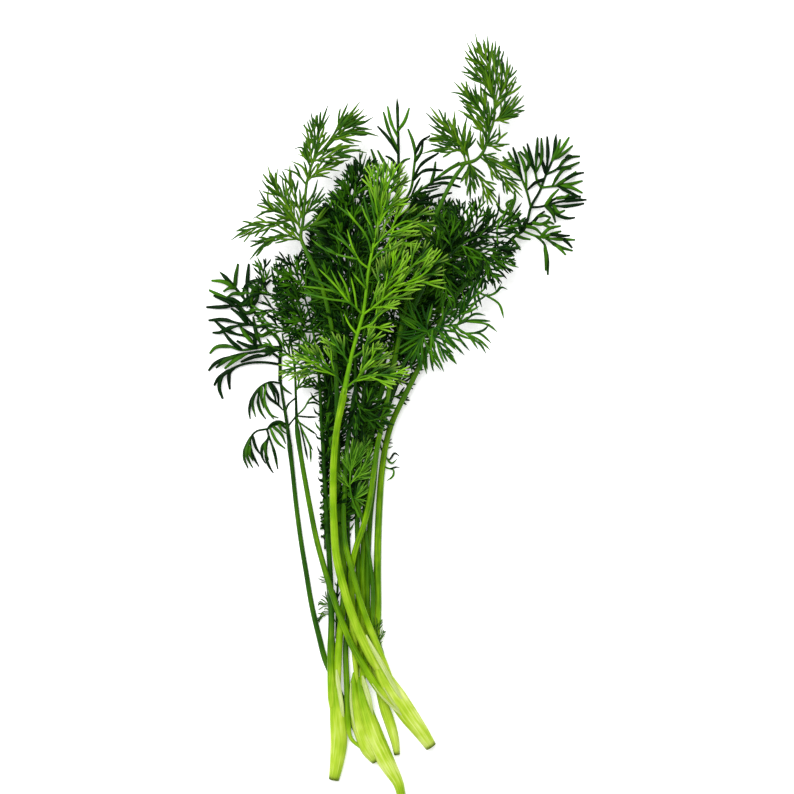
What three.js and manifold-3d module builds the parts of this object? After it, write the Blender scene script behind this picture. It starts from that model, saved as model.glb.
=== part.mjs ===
// A loose bunch of young dill, lying on a flat surface. Four plants, pulled and trimmed at the root,
// each a pale sheathed crown whose leaf stalks run up the bunch and end in a finely cut, thread-leaved
// blade. Millimetres, +Z up, +Y from the cut ends to the tips, z = 0 at the surface.
import * as THREE from "three";
import { mergeVertices } from "three/addons/utils/BufferGeometryUtils.js";
import Module from "manifold-3d";

const wasm = await Module();
wasm.setup();

// Driving dimensions.
const GAP = 0.3; // clear space between any two pieces
const THICK_STALK = 1.6; // half widths of the three sizes of leaf stalk, above the crown
const STALK = 1.15;
const THIN_STALK = 0.95;
const STALK_ROOT = 1.35; // how much thicker a stalk is inside its sheath
const STALK_END = 0.8; // and how much thinner for the last of its length
const STALK_STEP = 11; // along a stalk, from one bend to the next
const RIB = 0.9; // a blade's main rib, half width where it starts
const SIDE_RIB = 0.4;
const RIB_STEP = 9; // along a main rib, from one bend to the next
const BLADE_GAP = 0.8; // from a stalk's end to its blade's rib
const ROOT_CLEAR = 1; // from a rib's start to its first side rib
const ROOT_SUNK = 0.3; // a side rib's root past the middle of what it grows from
const ROOT_SHIFT = 0.07; // from one root's height to the next's
const COMB_THICK = 0.7; // of a side rib and its threads
const THREAD = 0.45; // half width of a leaf thread at its root
const THREAD_SPREAD = 38; // degrees between a thread and the side rib it grows from
const FIRST_THREAD = 0.3; // share of a side rib's length where its first threads stand
const LAST_THREAD = 1.3; // from a side rib's last threads to its tip
const BENDS = [0, 1, -1, 2, -2, 3, -3]; // how far a side rib may bend up or down to be clear of the others
const BEND_STEP = 1.9; // mm at a side rib's tip for each bend
const RISE_DRAW = 0.8; // of a side rib's tip up or down besides
const CORNER = 0.003; // corners nearer than this are one
const SURFACE_DEPTH = 20; // of the block that trims what would sink into the surface

const MATERIALS = {
  stalk: new THREE.MeshStandardMaterial({ color: 0x9cc83a, roughness: 0.45, metalness: 0 }),
  bright: new THREE.MeshStandardMaterial({ color: 0x6fae1e, roughness: 0.55, metalness: 0 }),
  mid: new THREE.MeshStandardMaterial({ color: 0x3f7d16, roughness: 0.55, metalness: 0 }),
  dark: new THREE.MeshStandardMaterial({ color: 0x1d5212, roughness: 0.6, metalness: 0 }),
};

// The plants. A sheath is a route with [x, y, z, half width, half height] at each point; a stalk is a
// half width and a route, from inside its sheath to where its blade starts.
const PLANTS = {
  crown_front: {
    sheaths: [
      [[13.9, -132, 2.3, 2.4, 2.5], [10.2, -126, 2.9, 3.5, 2.7], [6, -119.5, 3.9, 4.5, 2.7],
        [1.2, -112, 5, 4.9, 2.5], [-3.4, -104.5, 6.1, 4.6, 2.3], [-8, -97, 7, 3.2, 1.9]],
    ],
    stalks: {
      front: [THICK_STALK, [[-3.5, -106, 6.2], [-10.5, -95, 7.3], [-15.3, -85, 8.1], [-19.1, -75, 8.6],
        [-22, -65, 8.9], [-24.2, -55, 9.2], [-25.3, -40, 9.8], [-25.5, -28, 11.2], [-25.1, -15, 13.8],
        [-23.9, -4, 17.4], [-22.1, 5, 21.2], [-20.6, 12.5, 24]]],
      left_centre: [STALK, [[1, -110, 5.6], [-4, -100, 6.6], [-8.2, -90.5, 7.2], [-11.6, -82, 7.6],
        [-15, -72, 7.6], [-18, -61, 7.3], [-20.6, -51, 6.6], [-21.4, -40, 6.1], [-21, -29, 7],
        [-20.2, -14, 8.8], [-18.4, 0, 11.2], [-16.6, 12, 13.4]]],
      left_mid: [STALK, [[3, -118.5, 4.4], [-3.8, -112.5, 5.6], [-9.4, -105.5, 6.4], [-14, -98, 6.8],
        [-18.4, -90, 6.9], [-22.3, -80.5, 6.9], [-26, -70, 6.9], [-29.4, -59, 6.2], [-32.4, -48, 5.6],
        [-35, -35, 5.6], [-37, -24, 5.9], [-39, -12, 6.5], [-40.3, -2, 7.2]]],
    },
  },
  crown_left: {
    sheaths: [
      [[-26.4, -145.4, 1.7, 2.3, 2], [-25.4, -140, 2, 3.1, 2.4], [-24.3, -131, 2.4, 3.4, 2.3],
        [-24.2, -121, 3.8, 3, 1.9], [-25, -111, 4.4, 2.6, 1.6], [-25.6, -103, 4.4, 2, 1.4]],
    ],
    stalks: {
      left_inner: [STALK + 0.15, [[-25.6, -120, 3.9], [-26.4, -106, 4.4], [-26.7, -94, 4], [-26.4, -82, 3.7],
        [-26.6, -70, 3.6], [-27.1, -58, 3.6], [-28, -45, 3.8]]],
      left_plume: [STALK, [[-23.6, -118, 3.9], [-23.8, -106, 4.4], [-23.6, -95, 3.9], [-22.7, -84, 3.5],
        [-21.6, -74, 3.4], [-21.3, -64, 3.4], [-21.8, -54, 3.4], [-22.9, -43, 3.4], [-23.4, -30, 4.6],
        [-23.7, -15, 7.4], [-23.9, 0, 11.2], [-24.1, 14, 15], [-24.9, 28, 18], [-26.8, 41, 20],
        [-30.6, 54.5, 21.6], [-34.2, 63, 22], [-37.7, 70, 22]]],
      left_sprig: [0.6, [[-25.2, -112, 3.6], [-24.6, -103, 3.6], [-24.9, -94, 2.4], [-25.9, -86, 1.4]]],
    },
  },
  crown_long: {
    sheaths: [
      [[1.9, -152.4, 1.8, 1.7, 2], [0.6, -147, 2.1, 2.1, 2.4], [-2.6, -141, 2.5, 3, 2.9],
        [-6.2, -134.5, 2.5, 3.7, 3], [-9.6, -127, 2.4, 3.9, 2.9], [-12.2, -119, 2.3, 3.5, 2.6],
        [-14.2, -111, 2.4, 3, 2.2], [-15.8, -104, 2.4, 2.4, 1.8]],
      [[-8.6, -137.9, 2.2, 1.6, 1.9], [-11, -134, 2.7, 2.8, 2.4], [-14.2, -127, 2.9, 2.8, 2.3],
        [-16.6, -118, 3, 2.6, 2], [-17.6, -109, 2.9, 2, 1.6], [-17.4, -102, 2.8, 1.4, 1.3]],
    ],
    stalks: {
      far_left: [THIN_STALK, [[-13.5, -131, 2.4], [-16.8, -125, 1.5], [-19.9, -119.5, 1.15],
        [-22.6, -112, 1], [-25.6, -104.5, 1], [-28.6, -98, 1], [-31.6, -87, 1], [-34.4, -75, 1],
        [-36.6, -62, 1], [-38.6, -50, 1], [-40.6, -35, 1.1], [-42.2, -20, 1.5], [-43.6, -8, 2.1]]],
      centre_top: [THIN_STALK, [[-13.5, -133, 3], [-18.4, -128.6, 3.6], [-19.7, -121, 3.9],
        [-20, -111, 3.6], [-20.5, -100, 2.6], [-20.7, -92, 1.6], [-20, -83, 1.3], [-19.4, -72, 1.3],
        [-19.3, -60, 1.3], [-19.9, -45, 1.4], [-19.6, -30, 1.9], [-17.2, -11, 2.8], [-13.2, 9, 3.9],
        [-9.2, 29, 4.9], [-5.2, 50, 5.9], [-2.2, 69, 7]]],
      top_right: [STALK, [[-16, -108, 3.2], [-17, -97, 3.8], [-17.4, -87, 3.9], [-18, -76, 3.9],
        [-18.4, -66, 3.9], [-17.9, -58, 4.4], [-16.2, -51, 5.6], [-13.6, -43.5, 7.3], [-11.2, -34, 8.5],
        [-9.6, -23, 9.5], [-8, -12, 10.5], [-6, -2, 11.5], [-4.2, 6, 12.5], [-2.8, 14, 13.6],
        [-0.6, 25, 15.2], [2.5, 40, 17.6], [6.5, 55, 20], [11, 69, 22], [15.2, 80, 23],
        [19.6, 90, 22.8], [24, 97.5, 22], [27.3, 101.5, 21.5]]],
      low_centre: [THIN_STALK, [[-15.8, -106, 2.4], [-16.3, -96, 1.3], [-15.9, -85, 1], [-15.7, -70, 1],
        [-15.8, -55, 1], [-16.1, -40, 1], [-15.8, -28, 1.2], [-14.4, -12, 1.6], [-11, 5, 2.2],
        [-6.4, 19, 2.4]]],
      right_centre: [THIN_STALK, [[-14.4, -107, 2.4], [-14.1, -96, 1.2], [-13.5, -85, 1],
        [-13.3, -70, 1], [-13.2, -55, 1.1], [-12.9, -42, 1.3], [-12.5, -28, 1.8], [-11.4, -14, 2.6],
        [-9, 0, 4.2], [-5, 15, 6.8], [0.6, 30, 10.2], [6, 43, 13.4], [12, 56, 16.2]]],
      small: [THIN_STALK, [[-14.2, -110, 3.3], [-13.4, -103, 3.7], [-12, -94, 3.8], [-10.4, -85, 3.9],
        [-9.7, -75, 4], [-9.9, -65, 4.1], [-11.2, -55, 4.2], [-13, -44.5, 4.4], [-14.9, -37, 5.8],
        [-17, -31, 7.4]]],
    },
  },
  crown_small: {
    sheaths: [
      [[0, -135.3, 1.4, 1.2, 1.5], [-0.6, -131, 1.6, 1.6, 1.9], [-2.4, -124, 1.6, 2.1, 1.9],
        [-4.8, -117, 1.6, 2.1, 1.8], [-7, -110, 1.7, 1.8, 1.6], [-8.6, -104.5, 1.5, 1.5, 1.4]],
    ],
    stalks: {
      right_fan: [STALK + 0.15, [[-7.4, -109, 1.6], [-8.8, -100, 1.4], [-8.7, -89, 1.3], [-8, -78, 1.3],
        [-7.9, -62, 1.4], [-7.6, -46, 1.6], [-7, -33, 1.9], [-6.2, -22, 2.3], [-4.8, -12, 2.8],
        [-2.2, -2, 3.5], [1.4, 6, 4], [5, 13, 4.3], [9.4, 22, 4.4], [15, 34, 4.4], [22, 47, 4.4],
        [30, 57, 4.5], [37.5, 64, 4.6], [44, 70, 4.8]]],
      right_lower: [THIN_STALK, [[-8, -108, 1.6], [-10.8, -100, 1], [-11.1, -90, 1], [-10.8, -78, 1],
        [-10.6, -66, 1], [-10.3, -52, 1.2], [-9.8, -38, 1.6], [-9.2, -26, 2.2], [-8.2, -15, 3],
        [-6.4, -5, 4.4], [-3.7, 5, 6], [-0.9, 14, 7.6], [3.4, 23.5, 9.2], [9, 31.5, 10.2]]],
      right_sprig: [0.6, [[-6.2, -112, 1.6], [-6.2, -102, 1], [-6, -93, 0.9]]],
    },
  },
};

// The blades. A rib's route starts at its stalk's end. Each side rib is a route in plan, from the rib or
// from an earlier side rib, and a blade with none listed has them in pairs by a rule. thread is the
// length of the longest leaf threads, and spacing the distance between their pairs.
const BLADES = {
  front: {
    finish: "bright", thread: 8.5, spacing: 12,
    rib: [[-20.6, 12.5, 24], [-19.3, 19, 25.5], [-17.5, 27, 27], [-15.2, 35, 28.5], [-13.4, 41.5, 29.5],
      [-12.2, 50, 30.5], [-11.2, 58.5, 31], [-9.8, 66, 31.3], [-8, 75, 31], [-5.8, 86, 30], [-3.2, 103, 27]],
    sides: [
      [[-20.8, 12.8], [-26, 19.3], [-34, 20.7], [-47, 19]], [[-26, 19.3], [-32, 23.5], [-41, 26]],
      [[-20.2, 12.8], [-14.5, 16.5], [-7, 17.5], [5, 16.5]], [[-14.5, 16.5], [-11, 22], [-3, 29]],
      [[-18.5, 22.5], [-21.5, 26], [-28, 34]], [[-18.3, 23], [-13, 27.5], [-8, 37]],
      [[-16.3, 31], [-18.6, 34], [-20.5, 39]], [[-15.2, 35], [-9.5, 38], [-6, 46], [-2.5, 53]],
      [[-13.6, 41], [-17.8, 45.5], [-27, 47.5], [-38, 50]], [[-17.8, 45.5], [-22.5, 51.5], [-32, 60]],
      [[-13.2, 42], [-7, 46], [0, 51.5], [12, 58]], [[-5, 48], [-2, 58], [3, 70]],
      [[0, 51.5], [6, 60], [14.5, 69]], [[-12.2, 50.5], [-14.5, 54], [-17.8, 58.5]],
      [[-11.2, 59], [-15.5, 65], [-20, 70], [-26, 75]], [[-13.5, 62.5], [-20, 64.5], [-31, 69.5]],
      [[-10.5, 61], [-6.5, 66], [1, 69.5], [9, 69]], [[-9.6, 70], [-13, 75], [-18, 79], [-23.5, 84]],
      [[-8.5, 72], [-3, 75], [4, 78], [15, 73.5]], [[-8.5, 76], [-11.5, 82], [-13.3, 88.5]],
      [[-7.5, 77], [-3, 83], [4.5, 86]], [[-7.8, 79], [-10, 87], [-11.5, 96]],
      [[-6.8, 81], [-2, 90], [5, 94]], [[-6.3, 84], [-7.8, 92], [-7, 102]],
      [[-5.4, 88], [-2, 95], [1.5, 101]],
    ],
  },
  left_plume: {
    finish: "mid", thread: 8, spacing: 13,
    rib: [[-37.7, 70, 22], [-37.3, 78, 22], [-36.5, 87, 22], [-35.5, 95, 21.5], [-33, 104, 21],
      [-29.5, 111, 20.5], [-24, 117, 19.5], [-15.5, 122.5, 17.5]],
    sides: [
      [[-38, 71], [-46, 73], [-53, 69], [-58.5, 63]], [[-37.6, 73], [-42.5, 80], [-48.5, 89], [-52, 100]],
      [[-41, 78], [-46, 82.5], [-51, 83.5], [-57, 80]], [[-44.5, 83], [-49, 90.5], [-54, 95]],
      [[-41.5, 78.5], [-50, 79.5], [-58, 76.5], [-66, 71.5]], [[-37.3, 78], [-41, 85], [-45, 97]],
      [[-37.2, 79], [-33, 84], [-28, 93]], [[-37.5, 73], [-31, 76], [-25.5, 82]],
      [[-35.8, 93], [-38.5, 99], [-41, 107]], [[-35.5, 94], [-31, 99], [-23, 98]],
      [[-33.5, 102], [-35, 108], [-37, 117]], [[-33, 103], [-26, 106.5], [-15.5, 105.5]],
      [[-31.5, 107], [-33, 114], [-34.3, 122]], [[-31, 108], [-24, 110.5], [-7.5, 112]],
      [[-29, 111.5], [-29.5, 117], [-27, 124.5]], [[-27, 114], [-18, 115.5], [-9.5, 119.5]],
      [[-24.5, 116.5], [-23, 121], [-19.5, 126]],
    ],
  },
  top_right: {
    finish: "mid", thread: 8, spacing: 12,
    rib: [[27.3, 101.5, 21.5], [31.3, 102.6, 21.4], [34.6, 104.9, 21], [36.6, 111, 20.6], [37.8, 119, 20],
      [38, 128, 19], [37.2, 138, 17.5], [36, 152, 15]],
    sides: [
      [[27.5, 101.8], [25.5, 107.5], [20, 113.5], [11, 123]], [[25.5, 108], [18, 110.5], [11.5, 110.5]],
      [[24.5, 108.5], [23.5, 115], [23, 122.5]], [[28, 102], [27.2, 110], [29.5, 119]],
      [[25.4, 107], [18, 107], [10, 105.3]], [[34, 102.3], [41, 101], [50, 94.5]],
      [[33, 102], [40, 98], [47, 91]], [[28.6, 101.5], [29, 94], [29, 86]],
      [[29, 101.6], [35, 92], [41, 84]], [[36, 106.5], [33.4, 110], [33, 115]],
      [[36.2, 108], [40, 110], [40.6, 117]], [[37, 114.5], [31, 121], [22, 132.5]],
      [[37.1, 116], [31, 119.5], [23.5, 122.3]], [[38, 119.5], [43.5, 121], [50, 123]],
      [[38.2, 121], [43.5, 125.5], [49, 131]], [[38.2, 125], [42.5, 131], [44.5, 144]],
      [[38, 127], [33, 134.5], [26.5, 143]], [[37.8, 131], [33.3, 139.5], [28, 149.5]],
      [[37.8, 131.5], [40.4, 140], [41, 148]], [[37.2, 137], [34.3, 144], [31.2, 151.6]],
    ],
  },
  right_fan: {
    finish: "dark", thread: 8.5, spacing: 13.5,
    rib: [[44, 70, 4.8], [50, 77, 3.8], [53.5, 85, 2.4], [58, 93, 0.9], [60.6, 99.5, 0.4], [66.5, 113.5, 0.4]],
    sides: [
      [[46, 72.3], [50, 71], [54, 71.5]], [[48, 74.8], [44.5, 80], [43, 87]],
      [[50.5, 78], [57, 78.5], [66.5, 77.2]], [[49.4, 76.3], [57, 73], [64, 70.6], [71.5, 67.5]],
      [[57, 73], [64, 74.2], [70.5, 73.3]], [[53.4, 85], [60, 85], [67, 87.2], [76.4, 88]],
      [[60, 85], [66, 82], [72.3, 80.5]], [[57.6, 92.2], [64, 93.4], [75.3, 95.2]],
      [[62, 93.5], [68, 97.5], [75.8, 99]], [[53.5, 85.3], [51.5, 93], [49, 100], [44.7, 107.6]],
      [[56.6, 90.5], [54.6, 99], [51.3, 110]], [[60.2, 98.5], [58.2, 105], [57, 113]],
      [[60.5, 99], [66, 101.5], [74.4, 103.6]], [[62, 103], [67, 106.8], [71.3, 110]],
      [[55.5, 73.7], [59.5, 69], [60.8, 58]],
    ],
  },
  far_left: {
    finish: "dark", thread: 9.5, spacing: 14.5,
    rib: [[-43.6, -8, 1.9], [-45.2, 3, 1.4], [-46.9, 14, 0.8], [-47.6, 22, 0.5], [-48.2, 29, 0.4],
      [-52.6, 36.6, 0.4], [-57.6, 43, 0.4], [-62, 50, 0.4], [-71.2, 59.2, 0.4]],
    sides: [
      [[-44.5, -1.6], [-51, -2.6], [-58.5, -7], [-61.5, -15]],
      [[-44.1, -4.4], [-50, -6], [-52, -12], [-49.5, -20.5]],
      [[-46.9, 14.9], [-52, 15], [-57, 10], [-59.4, 0]],
      [[-46.4, 10.4], [-50.5, 11.5], [-51.5, 7], [-48.5, 1.5]],
      [[-47.5, 20.6], [-55, 23.2], [-63, 21.9], [-67.6, 12]],
      [[-47.9, 26.4], [-56, 27.6], [-66, 25.8], [-75.2, 20.4]],
      [[-50.2, 32.6], [-56, 32.5], [-62, 35.5], [-74.5, 34.5]],
      [[-53, 37.2], [-60, 38], [-66, 39.5], [-75.2, 40]],
      [[-57, 42], [-64, 42.5], [-76, 45.2]], [[-58.5, 44], [-65, 47.5], [-75.2, 51.6]],
      [[-60, 47], [-59, 54], [-60.3, 63]], [[-62, 50], [-64.5, 55], [-64.6, 62.3]],
    ],
  },
  left_mid: {
    finish: "dark", thread: 8, spacing: 13,
    rib: [[-40.3, -2, 7.2], [-40.8, 10, 8], [-41, 20, 8.4], [-42.6, 31, 8.8], [-45, 41, 9], [-50, 49, 8.8],
      [-60, 56, 8]],
    sides: [
      [[-40.5, 0.5], [-37, 4.5], [-31.5, 6]], [[-40.4, -0.5], [-36.5, -8], [-35.8, -15.5]],
      [[-40.5, 0.5], [-44, -4.5], [-42, -11]], [[-40.8, 11], [-37.4, 15], [-32, 17]],
      [[-41.2, 22], [-36.5, 26], [-29, 32]], [[-41.5, 24], [-47, 28], [-55, 27.5]],
      [[-42.8, 32], [-38, 37], [-31, 43]], [[-43.2, 34], [-50, 38], [-57, 37]],
      [[-45.2, 41.5], [-42, 48], [-37, 55]], [[-45.8, 42.5], [-52, 43.5], [-58, 41]],
      [[-49, 47.5], [-47.5, 55], [-48.5, 64]], [[-50.5, 49.3], [-57, 50], [-63, 46]],
      [[-54, 52], [-53.5, 58], [-56, 65]],
    ],
  },
  left_inner: {
    finish: "dark", thread: 8, spacing: 13,
    rib: [[-28, -45, 3.8], [-28.8, -30, 4.2], [-29.6, -14, 5], [-30.4, 0, 6.6], [-31, 13, 8.6],
      [-32.2, 26, 10.6], [-34.6, 40, 12], [-38, 52, 12.6], [-43, 66, 12]],
    pairs: { from: 0.04, to: 0.93, count: 10, length: [5, 7, 20, 8], spread: 55, seed: 5 },
  },
  left_centre: {
    finish: "dark", thread: 8, spacing: 12.5,
    rib: [[-16.6, 12, 13.4], [-16.8, 28, 15.4], [-18, 48, 16.6], [-19.4, 68, 16.6], [-17.6, 86, 15],
      [-12.2, 106, 12]],
    pairs: { from: 0.1, to: 0.9, count: 9, length: [12, 21, 17, 9], spread: 50, seed: 11 },
  },
  right_centre: {
    finish: "dark", thread: 8, spacing: 12.5,
    rib: [[12, 56, 16.2], [18, 64, 17.6], [25, 69.5, 18], [31, 72.2, 17.8], [38.5, 73.6, 17]],
    sides: [
      [[12.4, 57], [16.5, 54], [19.4, 46]], [[15.4, 61], [22, 56], [30.5, 44.5]],
      [[20, 65.8], [27, 61.5], [36, 52.5], [42.4, 40]],
      [[25.3, 69.6], [32, 66.5], [38.5, 61], [41, 53.5]],
      [[15, 60.4], [9.5, 64.5], [4, 67]], [[17, 63], [14.5, 71], [10, 79]],
      [[21, 66.6], [20, 75], [15.5, 85]],
      [[25.2, 69.8], [25.6, 78], [22, 87.5]], [[29, 71.5], [31.6, 79], [31, 88.5]],
      [[33, 72.6], [37.5, 78], [38.5, 86]], [[31, 72], [38, 68], [47, 61.5]],
    ],
  },
  right_lower: {
    finish: "dark", thread: 8.5, spacing: 12.5,
    rib: [[9, 31.5, 10.2], [16, 36, 10.6], [23.4, 38.3, 10], [29.5, 39.4, 9.2], [37.5, 38.4, 8]],
    sides: [
      [[9.6, 32], [8.2, 25.5], [11.5, 17.6]], [[10.6, 32.6], [13, 25.5], [18.7, 18.5]],
      [[12.6, 34], [18, 28.5], [24.2, 21]], [[16.4, 36.2], [22, 32], [26.4, 24.4]],
      [[20, 37.5], [25.5, 34.6], [31, 28]], [[23.4, 38.3], [30, 35.6], [37.4, 25.6]],
      [[28, 39.2], [34, 38], [40.2, 35]], [[12, 33.6], [12, 41], [16, 50]],
      [[18.6, 37], [20, 43.5], [25.5, 51]], [[24, 38.5], [28, 43], [30, 48]],
    ],
  },
  centre_top: {
    finish: "dark", thread: 9.5, spacing: 18,
    rib: [[-2.2, 69, 7], [0, 84, 8], [0.6, 98, 8.4], [0.8, 111, 8], [0.4, 128.8, 7]],
    sides: [
      [[0.6, 101], [-3.6, 106.5], [-5.2, 114], [-8.6, 118]], [[0.7, 106], [-2.6, 112], [-5, 124]],
      [[0.8, 111.5], [3.4, 115.5], [5.4, 122.8]], [[0.6, 99], [6.5, 103.5], [8, 110], [5.6, 116.7]],
      [[7.2, 106], [10, 109.5], [12.8, 114]], [[0.2, 94], [-5, 98.5], [-10, 108.5]],
      [[0.1, 87], [6, 95], [11, 99.6], [18.2, 99.4]], [[8, 97], [11.5, 101], [16, 106.6]],
      [[0, 84], [7, 87], [14, 94], [24.5, 105.4]], [[7, 87.4], [15, 89.5], [22, 93.6]],
      [[-0.4, 81], [-6, 86], [-11, 94]],
    ],
  },
  low_centre: {
    finish: "dark", thread: 8, spacing: 13,
    rib: [[-6.4, 19, 2.4], [-0.6, 36, 1], [5.4, 51, 0.5], [10.6, 66, 0.4], [15, 86, 0.4]],
    pairs: { from: 0.08, to: 0.92, count: 7, length: [14, 20, 20, 9], spread: 50, seed: 17 },
  },
  small: {
    finish: "mid", thread: 6, spacing: 10,
    rib: [[-17, -31, 7.4], [-18.4, -25.5, 9], [-18.5, -17, 10.6], [-17.2, -5, 11.6]],
    sides: [
      [[-17, -30.5], [-13.6, -28.5], [-11, -25]],
      [[-18.5, -24], [-14.4, -20.5], [-10.5, -15]], [[-18.6, -20], [-15, -14], [-12, -7.5]],
      [[-18.5, -15], [-19, -10.5], [-19, -5.5]],
    ],
  },
  left_sprig: {
    finish: "mid", thread: 3.6, spacing: 6.8,
    rib: [[-25.9, -86, 1.4], [-27.6, -78, 1], [-28.3, -70, 1], [-28.9, -61.5, 1]],
    sides: [
      [[-26.6, -82.5], [-29, -80], [-32, -81.5]], [[-27.6, -77.5], [-30, -75.5], [-32.4, -77.5]],
      [[-28, -73], [-30, -71.5], [-32, -73]], [[-28.5, -67], [-30.5, -65], [-32.2, -64.6]],
    ],
  },
  right_sprig: {
    finish: "mid", thread: 3.4, spacing: 6.8,
    rib: [[-6, -93, 0.9], [-6, -89, 0.9], [-5.4, -84, 1]],
    sides: [[[-6, -90], [-5, -88], [-4, -88.4]], [[-5.8, -87.4], [-4.8, -85.6], [-3.8, -85.4]]],
  },
};

// A solid from a closed three.js geometry.
function solidOf(geometry) {
  const bare = geometry.clone();
  bare.deleteAttribute("normal");
  bare.deleteAttribute("uv");
  const merged = mergeVertices(bare, 1e-4);
  return new wasm.Manifold(new wasm.Mesh({
    numProp: 3,
    vertProperties: merged.attributes.position.array,
    triVerts: new Uint32Array(merged.index.array),
  }));
}

// The geometry of a solid, with the corners that a join leaves almost touching drawn into one.
function geometryOf(solid) {
  const mesh = solid.getMesh();
  const position = new Float32Array(mesh.numVert * 3);
  for (let i = 0; i < mesh.numVert; i++) {
    position.set(mesh.vertProperties.subarray(i * mesh.numProp, i * mesh.numProp + 3), i * 3);
  }
  const whole = new THREE.BufferGeometry();
  whole.setAttribute("position", new THREE.BufferAttribute(position, 3));
  whole.setIndex(new THREE.BufferAttribute(mesh.triVerts, 1));
  const geometry = mergeVertices(whole, CORNER);
  const index = [];
  for (let i = 0; i < geometry.index.count; i += 3) {
    const [a, b, c] = geometry.index.array.subarray(i, i + 3);
    if (a !== b && b !== c && c !== a) index.push(a, b, c);
  }
  geometry.setIndex(index);
  geometry.computeVertexNormals();
  return geometry;
}

// The same number for the same n, between -1 and 1.
function draw(n) {
  const s = Math.sin(n * 12.9898) * 43758.5453;
  return 2 * (s - Math.floor(s)) - 1;
}

const vector = (p) => new THREE.Vector3(p[0], p[1], p[2]);
const curveOf = (route) => new THREE.CatmullRomCurve3(route.map(vector), false, "centripetal");

// A cylinder bent along a curve, with its width level and its height upright. size(t) gives the half
// width and half height at a share t of the curve's length.
function limb(curve, size, sides, rings) {
  const made = new THREE.CylinderGeometry(1, 1, 1, sides, rings, false, Math.PI / sides);
  const position = made.attributes.position;
  const up = new THREE.Vector3(0, 0, 1);
  for (let i = 0; i < position.count; i++) {
    const t = position.getY(i) + 0.5;
    const ahead = curve.getTangentAt(t);
    const across = new THREE.Vector3().crossVectors(ahead, up).normalize();
    const above = new THREE.Vector3().crossVectors(across, ahead);
    const [width, height] = size(t);
    const point = curve.getPointAt(t)
      .addScaledVector(across, position.getX(i) * width)
      .addScaledVector(above, position.getZ(i) * height);
    position.setXYZ(i, point.x, point.y, point.z);
  }
  return solidOf(made);
}

const turnOf = (a, b, c) => Math.sign((b.x - a.x) * (c.y - a.y) - (b.y - a.y) * (c.x - a.x));
const cross = (a, b, c, d) => turnOf(a, b, c) !== turnOf(a, b, d) && turnOf(c, d, a) !== turnOf(c, d, b);

// Whether no edge of an outline crosses another.
function isSimple(outline) {
  const count = outline.length;
  for (let i = 0; i < count; i++) {
    for (let j = i + 2; j < count; j++) {
      if (i === 0 && j === count - 1) continue;
      if (cross(outline[i], outline[i + 1], outline[j], outline[(j + 1) % count])) return false;
    }
  }
  return true;
}

// One side rib with its threads in opposite pairs, cut as one thin outline along a route in plan. It is
// tilted about its root at a given height, and climbs by rise to its far end.
function comb(route, { height, rise, reach, spacing, seed, depth = COMB_THICK }) {
  const spine = new THREE.SplineCurve(route.map(([x, y]) => new THREE.Vector2(x, y)));
  const length = spine.getLength();
  const last = 1 - LAST_THREAD / length;
  const room = (last - FIRST_THREAD) * length;
  const count = 1 + Math.round(room / spacing);
  const edge = (t, side) => {
    const ahead = spine.getTangentAt(t);
    const out = new THREE.Vector2(-ahead.y, ahead.x).multiplyScalar(side * SIDE_RIB * (1 - 0.75 * t));
    return spine.getPointAt(t).add(out);
  };
  const banks = [[], []];
  const threads = [];
  for (let k = 0; k < count; k++) {
    const t = FIRST_THREAD + (last - FIRST_THREAD) * k / Math.max(1, count - 1);
    for (const [b, side] of [[0, -1], [1, 1]]) {
      const n = seed * 37 + k * 2 + b;
      const turn = THREE.MathUtils.degToRad(side * (THREAD_SPREAD + 8 * draw(n)));
      const ahead = spine.getTangentAt(t);
      const way = ahead.clone().rotateAround(new THREE.Vector2(), turn);
      const half = THREAD / Math.abs(Math.sin(turn));
      const foot = edge(t, side);
      const tip = foot.clone().addScaledVector(way, THREAD);
      threads.push({ tip, way, far: reach * (1.25 - t) * (1 + 0.18 * draw(n + 0.5)) });
      banks[b].push(
        foot.clone().addScaledVector(ahead, -half),
        tip,
        foot.clone().addScaledVector(ahead, half),
      );
    }
  }
  const outline = [spine.getPoint(0), ...banks[0], spine.getPoint(1), ...banks[1].reverse()];
  for (const { tip, way, far } of threads) {
    const foot = tip.clone();
    for (const part of [1, 0.7, 0.4, 0]) {
      tip.copy(foot).addScaledVector(way, far * part);
      if (isSimple(outline)) break;
    }
  }
  const made = new THREE.ExtrudeGeometry(new THREE.Shape(outline), { depth, bevelEnabled: false });
  made.translate(0, 0, -depth / 2);
  const [x, y] = route[0];
  const end = spine.getPoint(1).sub(spine.getPoint(0));
  const position = made.attributes.position;
  for (let i = 0; i < position.count; i++) {
    const share = ((position.getX(i) - x) * end.x + (position.getY(i) - y) * end.y) / end.lengthSq();
    position.setZ(i, position.getZ(i) + height + rise * share);
  }
  return solidOf(made);
}

function sheath(route) {
  const curve = curveOf(route);
  const last = route.length - 1;
  const size = (t) => {
    const at = Math.min(t * last, last - 1e-9);
    const [a, b] = [route[Math.floor(at)], route[Math.floor(at) + 1]];
    const mix = at - Math.floor(at);
    return [a[3] + (b[3] - a[3]) * mix, a[4] + (b[4] - a[4]) * mix];
  };
  return limb(curve, size, 8, last + 1);
}

function stalk([halfWidth, route]) {
  const size = (t) => {
    const half = halfWidth * THREE.MathUtils.mapLinear(Math.min(t, 0.7), 0, 0.7, STALK_ROOT, STALK_END);
    return [half, half * 0.94];
  };
  const curve = curveOf(route);
  return limb(curve, size, 5, Math.round(curve.getLength() / STALK_STEP));
}

const surface = solidOf(new THREE.BoxGeometry(400, 400, SURFACE_DEPTH).translate(0, 0, -SURFACE_DEPTH / 2));
const placed = [];

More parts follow.
